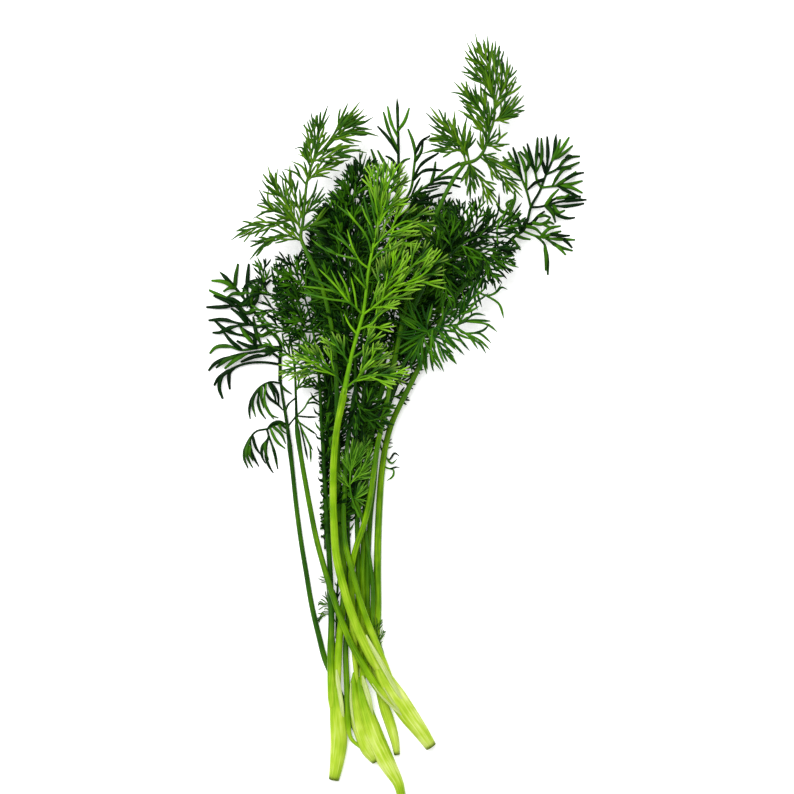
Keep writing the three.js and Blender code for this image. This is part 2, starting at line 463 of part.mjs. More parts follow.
const boxesMeet = (a, b) => [0, 1, 2].every((k) => a.min[k] <= b.max[k] && b.min[k] <= a.max[k]);
function isClear(solid, others) {
  const box = solid.boundingBox();
  return others.every((other) => !boxesMeet(box, other.box) || solid.intersect(other.solid).isEmpty());
}

function largestBody(solid) {
  return solid.decompose().sort((a, b) => b.volume() - a.volume())[0];
}

const group = new THREE.Group();
function place(name, solid, material) {
  const trimmed = largestBody(solid.subtract(surface));
  placed.push({ solid: trimmed, box: trimmed.boundingBox() });
  const mesh = new THREE.Mesh(geometryOf(trimmed), material);
  mesh.name = name;
  group.add(mesh);
}

// Side ribs in pairs along a rib, both sides alike but for a small seeded draw.
function pairs(rib, { from, to, count, length, spread, seed }) {
  const curve = curveOf(rib);
  const made = [];
  for (let k = 0; k < count; k++) {
    const share = k / (count - 1);
    const at = share * (length.length - 1);
    const low = Math.min(Math.floor(at), length.length - 2);
    const reach = length[low] + (length[low + 1] - length[low]) * (at - low);
    for (const side of [-1, 1]) {
      const n = seed * 100 + k * 2 + (side > 0 ? 1 : 0);
      const t = from + (to - from) * share + 0.012 * draw(n);
      const root = curve.getPointAt(t);
      const ahead = curve.getTangentAt(t);
      const turn = side * THREE.MathUtils.degToRad(spread + 9 * draw(n + 0.3));
      const heading = Math.atan2(ahead.y, ahead.x) - turn;
      const far = reach * (1 + 0.16 * draw(n + 0.6));
      const bow = side * THREE.MathUtils.degToRad(14);
      const step = (angle, part) => [
        root.x + Math.cos(angle) * far * part,
        root.y + Math.sin(angle) * far * part,
      ];
      made.push([[root.x, root.y], step(heading, 0.5), step(heading + bow, 1)]);
    }
  }
  return made;
}

// The point of the ribs so far that is nearest in plan, a little way up from the stalk's end.
function nearestOn(ribs, [x, y]) {
  const off = (p) => Math.hypot(p.x - x, p.y - y);
  return ribs.flat().reduce((best, p) => (off(p) < off(best) ? p : best));
}

// A blade's main rib: its path from just past the stalk's end, and its solid, widened all round by grow.
function ribPath(rib) {
  const whole = curveOf(rib);
  const length = whole.getLength();
  const points = Array.from({ length: 12 }, (_, i) => (
    whole.getPointAt(Math.min(1, (BLADE_GAP + (length - BLADE_GAP) * i / 11) / length))));
  return new THREE.CatmullRomCurve3(points);
}

function ribSolid(rib, grow) {
  const path = ribPath(rib);
  const half = (t) => RIB * (1 - 0.5 * t) + grow;
  return limb(path, (t) => [half(t), half(t)], 4, Math.round(path.getLength() / RIB_STEP));
}

function blade(name, { rib, sides, pairs: rule, thread: reach, spacing }) {
  const path = ribPath(rib);
  const others = [...placed, ...ribsAhead.filter((other) => other.name !== name)];
  let solid = ribSolid(rib, 0);
  const ribs = [path.getSpacedPoints(80).filter((p) => p.distanceTo(path.getPoint(0)) > ROOT_CLEAR)];
  for (const [n, [start, ...rest]] of (sides ?? pairs(rib, rule)).entries()) {
    const root = nearestOn(ribs, start);
    const back = new THREE.Vector2(root.x - rest[0][0], root.y - rest[0][1]).setLength(ROOT_SUNK);
    const route = [[root.x + back.x, root.y + back.y], ...rest];
    const shape = { height: root.z + ROOT_SHIFT * (n % 5 - 2), reach, spacing, seed: n };
    let best = null;
    for (const bend of BENDS) {
      const rise = bend * BEND_STEP + RISE_DRAW * draw(n);
      if (root.z + rise < COMB_THICK / 2) continue;
      if (!isClear(comb(route, { ...shape, rise, depth: COMB_THICK + 2 * GAP }), others)) continue;
      const piece = comb(route, { ...shape, rise });
      const shared = piece.intersect(solid).numTri();
      if (!best || shared < best.shared) best = { rise, piece, shared };
    }
    if (!best) continue; // no way past its neighbours
    solid = solid.add(best.piece);
    const spine = new THREE.SplineCurve(route.map(([x, y]) => new THREE.Vector2(x, y)));
    const end = spine.getPoint(1).sub(spine.getPoint(0));
    const share = (p) => p.clone().sub(spine.getPoint(0)).dot(end) / end.lengthSq();
    const lift = (p) => new THREE.Vector3(p.x, p.y, root.z + best.rise * share(p));
    ribs.push(spine.getSpacedPoints(20).map(lift));
  }
  return solid;
}

for (const [name, { sheaths, stalks }] of Object.entries(PLANTS)) {
  const pieces = [...sheaths.map(sheath), ...Object.values(stalks).map(stalk)];
  place(name, pieces.reduce((whole, piece) => whole.add(piece)), MATERIALS.stalk);
}

// Every main rib's place is kept free while the side ribs of the other blades are bent clear.
const ribsAhead = Object.entries(BLADES).map(([name, { rib }]) => {
  const solid = ribSolid(rib, GAP);
  return { name, solid, box: solid.boundingBox() };
});
for (const [name, shape] of Object.entries(BLADES)) {
  place("frond_" + name, blade(name, shape), MATERIALS[shape.finish]);
}

export default group;
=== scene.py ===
import bpy
import numpy as np
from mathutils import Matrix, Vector


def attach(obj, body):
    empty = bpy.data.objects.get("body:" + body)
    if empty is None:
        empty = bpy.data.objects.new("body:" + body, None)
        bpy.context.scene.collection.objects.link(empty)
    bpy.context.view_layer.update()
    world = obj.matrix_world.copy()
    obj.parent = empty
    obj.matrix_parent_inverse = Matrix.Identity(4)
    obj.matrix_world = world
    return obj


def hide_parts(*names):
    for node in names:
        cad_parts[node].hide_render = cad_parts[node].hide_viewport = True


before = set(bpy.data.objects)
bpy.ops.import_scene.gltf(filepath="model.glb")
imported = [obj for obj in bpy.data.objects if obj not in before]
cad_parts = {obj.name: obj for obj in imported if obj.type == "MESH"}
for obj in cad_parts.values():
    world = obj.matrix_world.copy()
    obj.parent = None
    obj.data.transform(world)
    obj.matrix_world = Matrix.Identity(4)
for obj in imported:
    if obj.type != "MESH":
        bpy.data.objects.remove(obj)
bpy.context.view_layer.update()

# --- Camera, floor and light ---
# The bunch lies on a pale, faintly glowing floor, and the camera looks straight down from well above.
# White light comes softly from all round, with one broad lamp high on the upper left.
MM = 0.001
VIEW_WIDTH = 317.6 * MM
VIEW_LEVEL = 10 * MM
VIEW_CENTRE = (0.0, 8.8 * MM)
LENS = 135.0
SENSOR = 36.0
FAR_LIMIT = 20.0
view_data = bpy.data.cameras.new("view")
view_data.lens = LENS
view_data.sensor_width = SENSOR
view_data.clip_end = FAR_LIMIT
view = bpy.data.objects.new("view", view_data)
view.location = (*VIEW_CENTRE, VIEW_WIDTH * LENS / SENSOR + VIEW_LEVEL)
bpy.context.collection.objects.link(view)
bpy.context.scene.camera = view
bpy.context.scene.view_settings.view_transform = "Standard"


def new_paint(name):
    paint = bpy.data.materials.new(name)
    paint.use_nodes = True
    return paint, paint.node_tree.nodes["Principled BSDF"]


WHITE = (1, 1, 1, 1)
FLOOR_SIZE = 6.0
FLOOR_DROP = 0.2 * MM
bpy.ops.mesh.primitive_plane_add(size=FLOOR_SIZE, location=(0, 0, -FLOOR_DROP))
floor = bpy.context.object
floor.name = "floor"
floor_paint, floor_shader = new_paint("floor")
floor_shader.inputs["Base Color"].default_value = (0.92, 0.92, 0.92, 1)
floor_shader.inputs["Roughness"].default_value = 0.8
floor_shader.inputs["Emission Color"].default_value = WHITE
floor_shader.inputs["Emission Strength"].default_value = 0.3
floor.data.materials.append(floor_paint)

world = bpy.data.worlds.new("studio")
world.use_nodes = True
world.node_tree.nodes["Background"].inputs["Color"].default_value = WHITE
world.node_tree.nodes["Background"].inputs["Strength"].default_value = 0.8
bpy.context.scene.world = world

LAMP_PLACE = (-0.35, 0.5, 1.2)
lamp_data = bpy.data.lights.new("lamp", "AREA")
lamp_data.size = 0.8
lamp_data.energy = 20.0
lamp = bpy.data.objects.new("lamp", lamp_data)
lamp.location = LAMP_PLACE
lamp.rotation_euler = (Vector((0, 0, 0)) - lamp.location).to_track_quat("-Z", "Y").to_euler()
bpy.context.collection.objects.link(lamp)

# --- Stalks and their sheaths ---
# Each plant is a handful of grooved leaf stalks that rise from pale, flattened sheaths at its foot.
# Sheaths and stalks are living flesh that grew together, so each plant is one mesh, cut across below.
RING_STEP = 1.6
FLOOR_CLEAR = 0.05


# Places along a smooth curve through given points, evenly spaced.
def smooth(points, count):
    points = np.array(points, float)
    reach = np.linalg.norm(np.diff(points[:, :3], axis=0), axis=1)
    t = np.concatenate([[0], np.cumsum(reach)])
    slope = np.gradient(points, t, axis=0)
    at = np.linspace(0, t[-1], count)
    i = np.clip(np.searchsorted(t, at, side="right") - 1, 0, len(t) - 2)
    step = (t[i + 1] - t[i])[:, None]
    u = (at - t[i])[:, None] / step
    start = points[i] * (1 + 2 * u) + slope[i] * step * u
    stop = points[i + 1] * (3 - 2 * u) + slope[i + 1] * step * (u - 1)
    return start * (1 - u) ** 2 + stop * u ** 2


def route_length(route):
    return sum(np.linalg.norm(np.diff(np.array(route)[:, :3], axis=0), axis=1))


def unit(vectors):
    return vectors / np.linalg.norm(vectors, axis=-1, keepdims=True)


# The heading, the level side and the upper side at each place of one or many paths.
def frames(paths):
    heading = unit(np.gradient(paths, axis=-2))
    side = unit(np.cross(heading, (0, 0, 1)))
    return heading, side, np.cross(side, heading)


# The faces of rows of rings, each joined to the next, with both ends closed.
def ring_faces(rows, rings, sides):
    start = np.arange(rows)[:, None, None] * rings * sides
    ring = np.arange(rings - 1)[None, :, None] * sides
    corner = np.arange(sides)[None, None, :]
    after = (corner + 1) % sides
    low, high = start + ring, start + ring + sides
    quads = np.stack([low + corner, low + after, high + after, high + corner], axis=-1)
    first = start[:, 0, 0][:, None] + np.arange(sides)[::-1]
    last = start[:, 0, 0][:, None] + (rings - 1) * sides + np.arange(sides)
    return quads.reshape(-1, 4).tolist() + first.tolist() + last.tolist()


# One mesh from several lots of corners, faces and named values for each corner.
def piece_of(name, lots, paint, replaced=()):
    corners = np.concatenate([lot[0] for lot in lots])
    faces = []
    base = 0
    for lot in lots:
        faces += [[base + i for i in face] for face in lot[1]]
        base += len(lot[0])
    mesh = bpy.data.meshes.new(name)
    mesh.from_pydata((corners * MM).tolist(), [], faces)
    for key in lots[0][2]:
        values = np.concatenate([lot[2][key] for lot in lots]).astype(np.float32)
        kind = "FLOAT_VECTOR" if values.ndim == 2 else "FLOAT"
        layer = mesh.attributes.new(key, kind, "POINT")
        layer.data.foreach_set("vector" if values.ndim == 2 else "value", values.ravel())
    mesh.shade_smooth()
    mesh.materials.append(paint)
    made = bpy.data.objects.new(name, mesh)
    bpy.context.collection.objects.link(made)
    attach(made, "root")
    if replaced:
        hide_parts(*replaced)
    return made


# The cut foot, as rings inward from its rim: how far out each ring is, and how deep it is sunk.
CUT_RINGS = [(0.02, 0.5), (0.35, 0.45), (0.62, 0.12), (0.86, 0.0), (0.97, 0.12)]
RIDGE_SHARES = (0.5, 0.3, 0.2)
MOST_TWIST = 0.012
GRAIN_RUN = 0.03
BROWNED = 1.2


# A grooved stem of oval section along a route, with its own ridges, colour and grain at each corner.
def stem(route, sizes, greens, seed, sides, ridges, depth, grain, is_cut):
    count = len(route)
    heading, side, upper = frames(route)
    draw = np.random.default_rng(seed)
    turn = np.linspace(0, 2 * np.pi, sides, endpoint=False)
    run = np.concatenate([[0], np.cumsum(np.linalg.norm(np.diff(route, axis=0), axis=1))])
    relief = np.zeros((count, sides))
    for ridge, share in zip(ridges, RIDGE_SHARES):
        twist = draw.uniform(0, 2 * np.pi) + run * draw.uniform(-MOST_TWIST, MOST_TWIST)
        relief += share * np.cos(ridge * turn[None, :] + twist[:, None])
    swell = 1 + depth * relief
    wide = sizes[:, :1] * swell * np.cos(turn)
    tall = sizes[:, 1:] * swell * np.sin(turn)
    rings = route[:, None] + wide[..., None] * side[:, None] + tall[..., None] * upper[:, None]
    cut = [route[0] + (rings[0] - route[0]) * out + heading[0] * sunk for out, sunk in CUT_RINGS]
    rings = np.concatenate([np.array(cut), rings])
    rings[..., 2] = np.maximum(rings[..., 2], FLOOR_CLEAR)
    run = np.concatenate([np.zeros(len(CUT_RINGS)), run])
    greens = np.concatenate([np.full(len(CUT_RINGS), greens[0]), greens])
    around = np.stack([np.cos(turn), np.sin(turn)], axis=1) * grain
    grains = np.zeros((len(run), sides, 3))
    grains[:, :, :2] = around[None]
    grains[:, :, 2] = run[:, None] * GRAIN_RUN + seed
    foot = np.exp(-run / BROWNED) * is_cut
    values = {
        "grain": grains.reshape(-1, 3),
        "green": np.repeat(greens, sides),
        "foot": np.repeat(foot, sides),
    }
    return rings.reshape(-1, 3), ring_faces(1, len(run), sides), values


# A colour as red, green and blue from 0 to 255, in the linear values that a shader takes.
def linear(red, green, blue):
    return tuple(((c / 255 + 0.055) / 1.055) ** 2.4 for c in (red, green, blue)) + (1,)


def add_node(paint, kind, **settings):
    made = paint.node_tree.nodes.new(kind)
    for key, value in settings.items():
        setattr(made, key, value)
    return made


def join(paint, source, output, target, socket):
    paint.node_tree.links.new(source.outputs[output], target.inputs[socket])


def noise(paint, source, output, scale, detail):
    made = add_node(paint, "ShaderNodeTexNoise")
    made.inputs["Scale"].default_value = scale
    made.inputs["Detail"].default_value = detail
    join(paint, source, output, made, "Vector")
    return made


# A share of one value, added to another.
def add_share(paint, source, share, base, output):
    made = add_node(paint, "ShaderNodeMath", operation="MULTIPLY_ADD")
    made.inputs[1].default_value = share
    join(paint, source, "Fac", made, 0)
    join(paint, base, output, made, 2)
    return made


# A colour ramp with a stop for each place and colour.
def ramp(paint, source, output, stops):
    made = add_node(paint, "ShaderNodeValToRGB")
    band = made.color_ramp.elements
    while len(band) < len(stops):
        band.new(0.5)
    for stop, (place, colour) in zip(band, stops):
        stop.position = place
        stop.color = colour
    join(paint, source, output, made, "Fac")
    return made


# One grain for both gloss and relief: the range of roughness, and the bump's strength and depth in mm.
def roughen(paint, shader, grain, least, most, strength, depth):
    gloss = add_node(paint, "ShaderNodeMapRange")
    gloss.inputs["To Min"].default_value = least
    gloss.inputs["To Max"].default_value = most
    join(paint, grain, "Fac", gloss, "Value")
    join(paint, gloss, "Result", shader, "Roughness")
    bump = add_node(paint, "ShaderNodeBump")
    bump.inputs["Strength"].default_value = strength
    bump.inputs["Distance"].default_value = depth * MM
    join(paint, grain, "Fac", bump, "Height")
    join(paint, bump, "Normal", shader, "Normal")


# Light that soaks into the flesh a little way.
def soak(shader, weight, radius, depth):
    shader.inputs["Subsurface Weight"].default_value = weight
    shader.inputs["Subsurface Radius"].default_value = radius
    shader.inputs["Subsurface Scale"].default_value = depth * MM


# Stalk flesh: fine lengthwise veins, pale at the foot and greener upward, brownish where it was cut.
stalk_paint, stalk_shader = new_paint("stalk")
grain = add_node(stalk_paint, "ShaderNodeAttribute", attribute_name="grain")
green = add_node(stalk_paint, "ShaderNodeAttribute", attribute_name="green")
foot = add_node(stalk_paint, "ShaderNodeAttribute", attribute_name="foot")
place = add_node(stalk_paint, "ShaderNodeTexCoord")
veins = noise(stalk_paint, grain, "Vector", 3.2, 3.0)
patches = noise(stalk_paint, place, "Object", 90.0, 2.0)
vein_shift = add_share(stalk_paint, veins, 0.5, green, "Fac")
patch_shift = add_share(stalk_paint, patches, 0.5, vein_shift, "Value")
centred = add_node(stalk_paint, "ShaderNodeMath", operation="SUBTRACT")
centred.inputs[1].default_value = 0.5
join(stalk_paint, patch_shift, "Value", centred, 0)
flesh = ramp(stalk_paint, centred, "Value", [
    (0.0, linear(198, 210, 120)), (0.2, linear(158, 184, 48)), (0.4, linear(112, 154, 3)),
    (0.6, linear(64, 106, 0)), (0.8, linear(34, 78, 1)), (1.0, linear(7, 38, 0)),
])
cut_mix = add_node(stalk_paint, "ShaderNodeMix", data_type="RGBA")
cut_mix.inputs["B"].default_value = linear(98, 118, 24)
join(stalk_paint, foot, "Fac", cut_mix, "Factor")
join(stalk_paint, flesh, "Color", cut_mix, "A")
join(stalk_paint, cut_mix, "Result", stalk_shader, "Base Color")
roughen(stalk_paint, stalk_shader, veins, 0.3, 0.52, 0.35, 0.25)
soak(stalk_shader, 0.12, (0.6, 1.0, 0.2), 1.5)
stalk_shader.inputs["Specular IOR Level"].default_value = 0.08

SHEATH_FORM = {"sides": 64, "ridges": (13, 17, 23), "depth": 0.03, "grain": 1.7, "is_cut": 1}
STALK_FORM = {"sides": 32, "ridges": (8, 10, 5), "depth": 0.05, "grain": 1.0, "is_cut": 0}
SHEATH_GREENS = (0.22, 0.17, 0.2, 0.28, 0.42)
STALK_HEIGHT = 0.94


# One plant. A sheath's route gives x, y, z, half width and half height. A stalk gives its half width,
# the share of it left at the top, how green it is from foot to top (0 cream, 1 deep green), and its
# route. Where it enters the sheath it is thicker, and it swells a little at the joint with its blade.
def plant(name, seed, paleness, sheaths, stalks):
    lots = []
    for route in sheaths:
        line = smooth(route, int(route_length(route) / RING_STEP))
        run = np.linspace(0, 1, len(line))
        greens = np.interp(run, np.linspace(0, 1, len(SHEATH_GREENS)), SHEATH_GREENS) - paleness
        sizes = line[:, 3:] * np.interp(run, [0, 0.6, 0.85, 1], [1, 1, 0.8, 0.3])[:, None]
        lots.append(stem(line[:, :3], sizes, greens, seed, **SHEATH_FORM))
        seed += 1
    for half, narrowed, tones, route in stalks:
        line = smooth(route, int(route_length(route) / RING_STEP))
        run = np.linspace(0, 1, len(line))
        middle = (1 + narrowed) / 2
        wide = half * np.interp(run, [0, 0.1, 0.25, 0.6, 0.9, 0.972, 1],
                                [0.6, 1.35, 1.1, middle, narrowed, 1.14 * narrowed, 0.75 * narrowed])
        greens = np.interp(run, np.linspace(0, 1, len(tones)), tones)
        sizes = np.stack([wide, wide * STALK_HEIGHT], axis=1)
        lots.append(stem(line, sizes, greens, seed, **STALK_FORM))
        seed += 1
    piece_of("stalks_" + name, lots, stalk_paint, ["crown_" + name])


plant("front", 101, 0.05, [
    [(13.7, -132, 2.3, 2.3, 2.5), (9.7, -126, 2.9, 3, 2.7), (5.1, -119.7, 3.9, 3.7, 2.7),
     (0.1, -112.2, 5, 3.9, 2.5), (-4.6, -104.6, 6.1, 3.7, 2.3), (-8.8, -97, 7, 3.2, 1.9)],
], [
    (1.6, 0.8, (0.16, 0.3, 0.36, 0.4, 0.44, 0.48), [
        (-3, -107, 4.4), (-10.4, -95, 7.2), (-15.3, -85, 8.1), (-19.1, -75, 8.6), (-22, -65, 8.9),
        (-24.2, -55, 9.2), (-25.3, -40, 9.8), (-25.5, -28, 11.2), (-25.1, -15, 13.8), (-23.9, -4, 17.4),
        (-22.1, 5, 21.2), (-20.6, 12.5, 24),
    ]),
    (1.15, 0.75, (0.14, 0.36, 0.55, 0.68, 0.8, 0.9), [
        (0.4, -110.6, 4.6), (-4.4, -100.4, 6.2), (-8.2, -90.5, 7.2), (-11.6, -82, 7.6), (-15, -72, 7.6),
        (-18, -61, 7.3), (-20.6, -51, 6.6), (-21.4, -40, 6.1), (-21, -29, 7), (-20.2, -14, 8.8),
        (-18.4, 0, 11.2), (-16.6, 12, 13.4),
    ]),
    (1.25, 0.75, (0.12, 0.44, 0.56, 0.6, 0.68, 0.82), [
        (3, -118.5, 4.4), (-3.8, -112.5, 5.6), (-9.4, -105.5, 6.4), (-14, -98, 6.8), (-18.4, -90, 6.9),
        (-22.3, -80.5, 6.9), (-26, -70, 6.9), (-29.4, -59, 6.2), (-32.4, -48, 5.6), (-35, -35, 5.6),
        (-37, -24, 5.9), (-39, -12, 6.5), (-40.3, -2, 7.2),
    ]),
])
plant("left", 105, -0.04, [
    [(-25.4, -145.4, 1.7, 2.1, 2), (-24.4, -139.6, 2, 2.7, 2.3), (-23.4, -130, 2.4, 3.4, 2.3),
     (-23.8, -120.5, 3.8, 3.2, 1.9), (-24.9, -111, 4.4, 2.6, 1.6), (-25.6, -103, 4.4, 2, 1.4)],
], [
    (1.3, 0.8, (0.16, 0.4, 0.66, 0.78, 0.86, 0.9), [
        (-25.6, -120, 3.9), (-26.4, -106, 4.4), (-26.7, -94, 4), (-26.4, -82, 3.7), (-26.6, -70, 3.6),
        (-27.1, -58, 3.6), (-28, -45, 3.8),
    ]),
    (1.15, 0.7, (0.2, 0.55, 0.72, 0.8, 0.76, 0.7), [
        (-23.6, -118, 3.9), (-23.8, -106, 4.4), (-23.6, -95, 3.9), (-22.7, -84, 3.5), (-21.6, -74, 3.4),
        (-21.3, -64, 3.4), (-21.8, -54, 3.4), (-22.9, -43, 3.4), (-23.4, -30, 4.6), (-23.7, -15, 7.4),
        (-23.9, 0, 11.2), (-24.1, 14, 15), (-24.9, 28, 18), (-26.8, 41, 20), (-30.6, 54.5, 21.6),
        (-34.2, 63, 22), (-37.7, 70, 22),
    ]),
    (0.6, 0.8, (0.3, 0.5, 0.75), [
        (-25.2, -112, 3.6), (-24.6, -103, 3.6), (-24.9, -94, 2.4), (-25.9, -86, 1.4),
    ]),
])
plant("long", 109, -0.02, [
    [(1.9, -152.4, 1.8, 1.7, 2), (0.6, -147, 2.1, 2.1, 2.4), (-2.6, -141, 2.5, 3, 2.9),
     (-6.2, -134.5, 2.5, 3.7, 3), (-9.6, -127, 2.4, 3.9, 2.9), (-12.2, -119, 2.3, 3.5, 2.6),
     (-14.2, -111, 2.4, 3, 2.2), (-15.8, -104, 2.4, 2.4, 1.8)],
    [(-8.6, -137.9, 2.2, 1.6, 1.9), (-11, -134, 2.7, 2.8, 2.4), (-14.2, -127, 2.9, 2.8, 2.3),
     (-16.6, -118, 3, 2.6, 2), (-17.6, -109, 2.9, 2, 1.6), (-17.4, -102, 2.8, 1.4, 1.3)],
], [
    (1.08, 0.85, (0.45, 0.74, 0.78, 0.8, 0.82, 0.88), [
        (-13.5, -131, 2.4), (-16.8, -125, 1.5), (-19.9, -119.5, 1.15), (-22.6, -112, 1),
        (-25.6, -104.5, 1), (-28.6, -98, 1), (-31.6, -87, 1), (-34.4, -75, 1), (-36.6, -62, 1),
        (-38.6, -50, 1), (-40.6, -35, 1.1), (-42.2, -20, 1.5), (-43.6, -8, 2.1),
    ]),
    (0.95, 0.75, (0.3, 0.68, 0.85, 0.9, 0.94, 0.97), [
        (-13.5, -133, 3), (-18.4, -128.6, 3.6), (-19.7, -121, 3.9), (-20, -111, 3.6), (-20.5, -100, 2.6),
        (-20.7, -92, 1.6), (-20, -83, 1.3), (-19.4, -72, 1.3), (-19.3, -60, 1.3), (-19.9, -45, 1.4),
        (-19.6, -30, 1.9), (-17.2, -11, 2.8), (-13.2, 9, 3.9), (-9.2, 29, 4.9), (-5.2, 50, 5.9),
        (-2.2, 69, 7),
    ]),
    (1.1, 0.68, (0.18, 0.5, 0.6, 0.64, 0.7, 0.74), [
        (-16, -109, 1.6), (-16.8, -97, 3.6), (-17.4, -87, 3.9), (-18, -76, 3.9), (-18.4, -66, 3.9),
        (-17.9, -58, 4.4), (-16.2, -51, 5.6), (-13.6, -43.5, 7.3), (-11.2, -34, 8.5), (-9.6, -23, 9.5),
        (-8, -12, 10.5), (-6, -2, 11), (-4.2, 6, 11.2), (-2.8, 14, 11.2), (-0.6, 25, 11.4),
        (2.5, 40, 12.4), (6.5, 55, 14.8), (11, 69, 18.6), (15.2, 80, 21), (19.6, 90, 22), (24, 97.5, 22),
        (27.3, 101.5, 21.5),
    ]),
    (1.0, 0.85, (0.2, 0.62, 0.75, 0.82, 0.9), [
        (-15.8, -106, 2.4), (-16.3, -96, 1.3), (-15.9, -85, 1), (-15.7, -70, 1), (-15.8, -55, 1),
        (-16.1, -40, 1), (-15.8, -28, 1.2), (-14.4, -12, 1.6), (-11, 5, 2.2), (-6.4, 19, 2.4),
    ]),
    (1.0, 0.85, (0.2, 0.55, 0.7, 0.8, 0.9), [
        (-14.4, -107, 2.4), (-14.2, -96, 1.2), (-13.9, -85, 1), (-13.8, -70, 1), (-13.7, -55, 1.1),
        (-13.2, -42, 1.3), (-12.5, -28, 1.8), (-11.4, -14, 2.6), (-9, 0, 4.2), (-5, 15, 6.8),
        (0.6, 30, 10.2), (6, 43, 13.4), (12, 56, 16.2),
    ]),
    (0.95, 0.7, (0.2, 0.58, 0.7, 0.75, 0.75), [
        (-14.2, -111, 1.8), (-13.6, -103, 3.2), (-12, -94, 3.8), (-10.4, -85, 3.9), (-9.7, -75, 4),
        (-9.9, -65, 4.1), (-11.2, -55, 4.2), (-13, -44.5, 4.4), (-14.9, -37, 5.8), (-17, -31, 7.4),
    ]),
])
plant("small", 117, 0.04, [
    [(0, -135.3, 1.4, 1.2, 1.5), (-0.6, -131, 1.6, 1.6, 1.9), (-2.4, -124, 1.6, 2.1, 1.9),
     (-4.8, -117, 1.6, 2.1, 1.8), (-7, -110, 1.7, 1.8, 1.6), (-8.6, -104.5, 1.5, 1.5, 1.4)],
], [
    (1.35, 0.6, (0.18, 0.5, 0.55, 0.55, 0.66, 0.92), [
        (-7.4, -109, 1.6), (-8.8, -100, 1.4), (-8.7, -89, 1.3), (-8, -78, 1.3), (-7.9, -62, 1.4),
        (-7.6, -46, 1.6), (-7, -33, 1.9), (-6.2, -22, 2.3), (-4.8, -12, 2.8), (-2.2, -2, 3.5),
        (1.4, 6, 4), (5, 13, 4.3), (9.4, 22, 4.4), (15, 34, 4.4), (22, 47, 4.4), (30, 57, 4.5),
        (37.5, 64, 4.6), (44, 70, 4.8),
    ]),
    (1.0, 0.8, (0.2, 0.6, 0.72, 0.8, 0.92), [
        (-8, -108, 1.6), (-11.2, -100, 1), (-11.9, -90, 1), (-11.9, -78, 1), (-11.8, -66, 1),
        (-11.5, -52, 1.2), (-10.6, -38, 1.6), (-9.2, -26, 2.2), (-8.2, -15, 3), (-6.4, -5, 4.4),
        (-3.7, 5, 6), (-0.9, 14, 7.6), (3.4, 23.5, 9.2), (9, 31.5, 10.2),
    ]),
    (0.6, 0.8, (0.3, 0.6, 0.75), [
        (-6.2, -112, 1.6), (-6.2, -102, 1), (-6, -93, 0.9),
    ]),
])

# --- Sheath margins ---
# Each sheath's edge thins out into a pale papery skin that grew with it and lies along its stalks.
# It is a flat streak in mesh, raised a little over the sheath below.
skin_paint, skin_shader = new_paint("sheath_skin")
skin_place = add_node(skin_paint, "ShaderNodeAttribute", attribute_name="grain")
skin_veins = noise(skin_paint, skin_place, "Vector", 4.0, 3.0)
skin_tones = ramp(skin_paint, skin_veins, "Fac", [
    (0.3, linear(136, 158, 66)), (0.55, linear(168, 184, 104)), (0.75, linear(190, 200, 140)),
])
join(skin_paint, skin_tones, "Color", skin_shader, "Base Color")
roughen(skin_paint, skin_shader, skin_veins, 0.3, 0.5, 0.3, 0.15)
soak(skin_shader, 0.3, (0.8, 1.0, 0.5), 1.0)

MARGIN_FORM = {"sides": 16, "ridges": (3, 5, 4), "depth": 0.06, "grain": 1.0, "is_cut": 0}
MARGIN_RINGS = 30


# The margins of one plant's sheaths. A route gives x, y, z, half width and half height.
def margins(name, seed, routes):
    lots = []
    for route in routes:
        line = smooth(route, MARGIN_RINGS)
        lots.append(stem(line[:, :3], line[:, 3:], np.zeros(MARGIN_RINGS), seed, **MARGIN_FORM))
        seed += 1
    piece_of("margin_" + name, lots, skin_paint)


margins("front", 121, [
    [(3.4, -114.6, 6.2, 0.1, 0.1), (0.2, -109.4, 7.9, 0.75, 0.25), (-3.2, -103.4, 8.7, 0.9, 0.25),
     (-6.6, -97.2, 9.2, 0.95, 0.22), (-9.9, -91.4, 9.2, 0.8, 0.18), (-12.4, -86.4, 8.9, 0.35, 0.12)],
    [(4.3, -120.4, 5, 0.1, 0.1), (1.4, -118.2, 6.4, 0.5, 0.25), (-2.4, -115, 6.9, 0.5, 0.22),
     (-6.6, -110.6, 7.7, 0.4, 0.2), (-10, -106, 8, 0.2, 0.12)],
    [(3.6, -119.4, 5.2, 0.1, 0.1), (0.6, -116.4, 6.8, 0.4, 0.22), (-2.6, -112.2, 7.6, 0.4, 0.2),
     (-5.4, -107.6, 8, 0.2, 0.12)],
])
margins("left", 124, [
    [(-21.8, -124, 3.9, 0.1, 0.1), (-22, -117, 5.5, 0.8, 0.25), (-23, -110, 5.7, 0.9, 0.22),
     (-23.9, -104, 5.9, 0.8, 0.18), (-24.3, -100.6, 5.8, 0.3, 0.12)],
])
margins("long", 125, [
    [(-9.6, -119.5, 3.8, 0.1, 0.1), (-10.6, -115, 4.9, 0.8, 0.2), (-11.8, -110.6, 4.9, 1.1, 0.18),
     (-13, -106.6, 4.7, 1, 0.16), (-13.9, -103.2, 4.5, 0.4, 0.12)],
    [(-16.4, -126, 4.6, 0.1, 0.1), (-17.8, -120, 5.2, 0.5, 0.2), (-18.6, -113, 4.9, 0.5, 0.18),
     (-18.6, -106, 4.4, 0.25, 0.12)],
])

# --- Front blade ---
# The youngest blade lies on top: a bright rib, side ribs in pairs, and soft threads forked in two.
# Ribs and threads are all one leaf, and each thread runs out to a fine point.
THREAD_RINGS = np.array([0, 0.2, 0.45, 0.7, 0.9, 1.0])
THREAD_SWELL = np.array([0.6, 0.85, 1.0, 0.98, 0.68, 0.1])
THREAD_SIDES = 5
THREAD_HEIGHT = 0.85


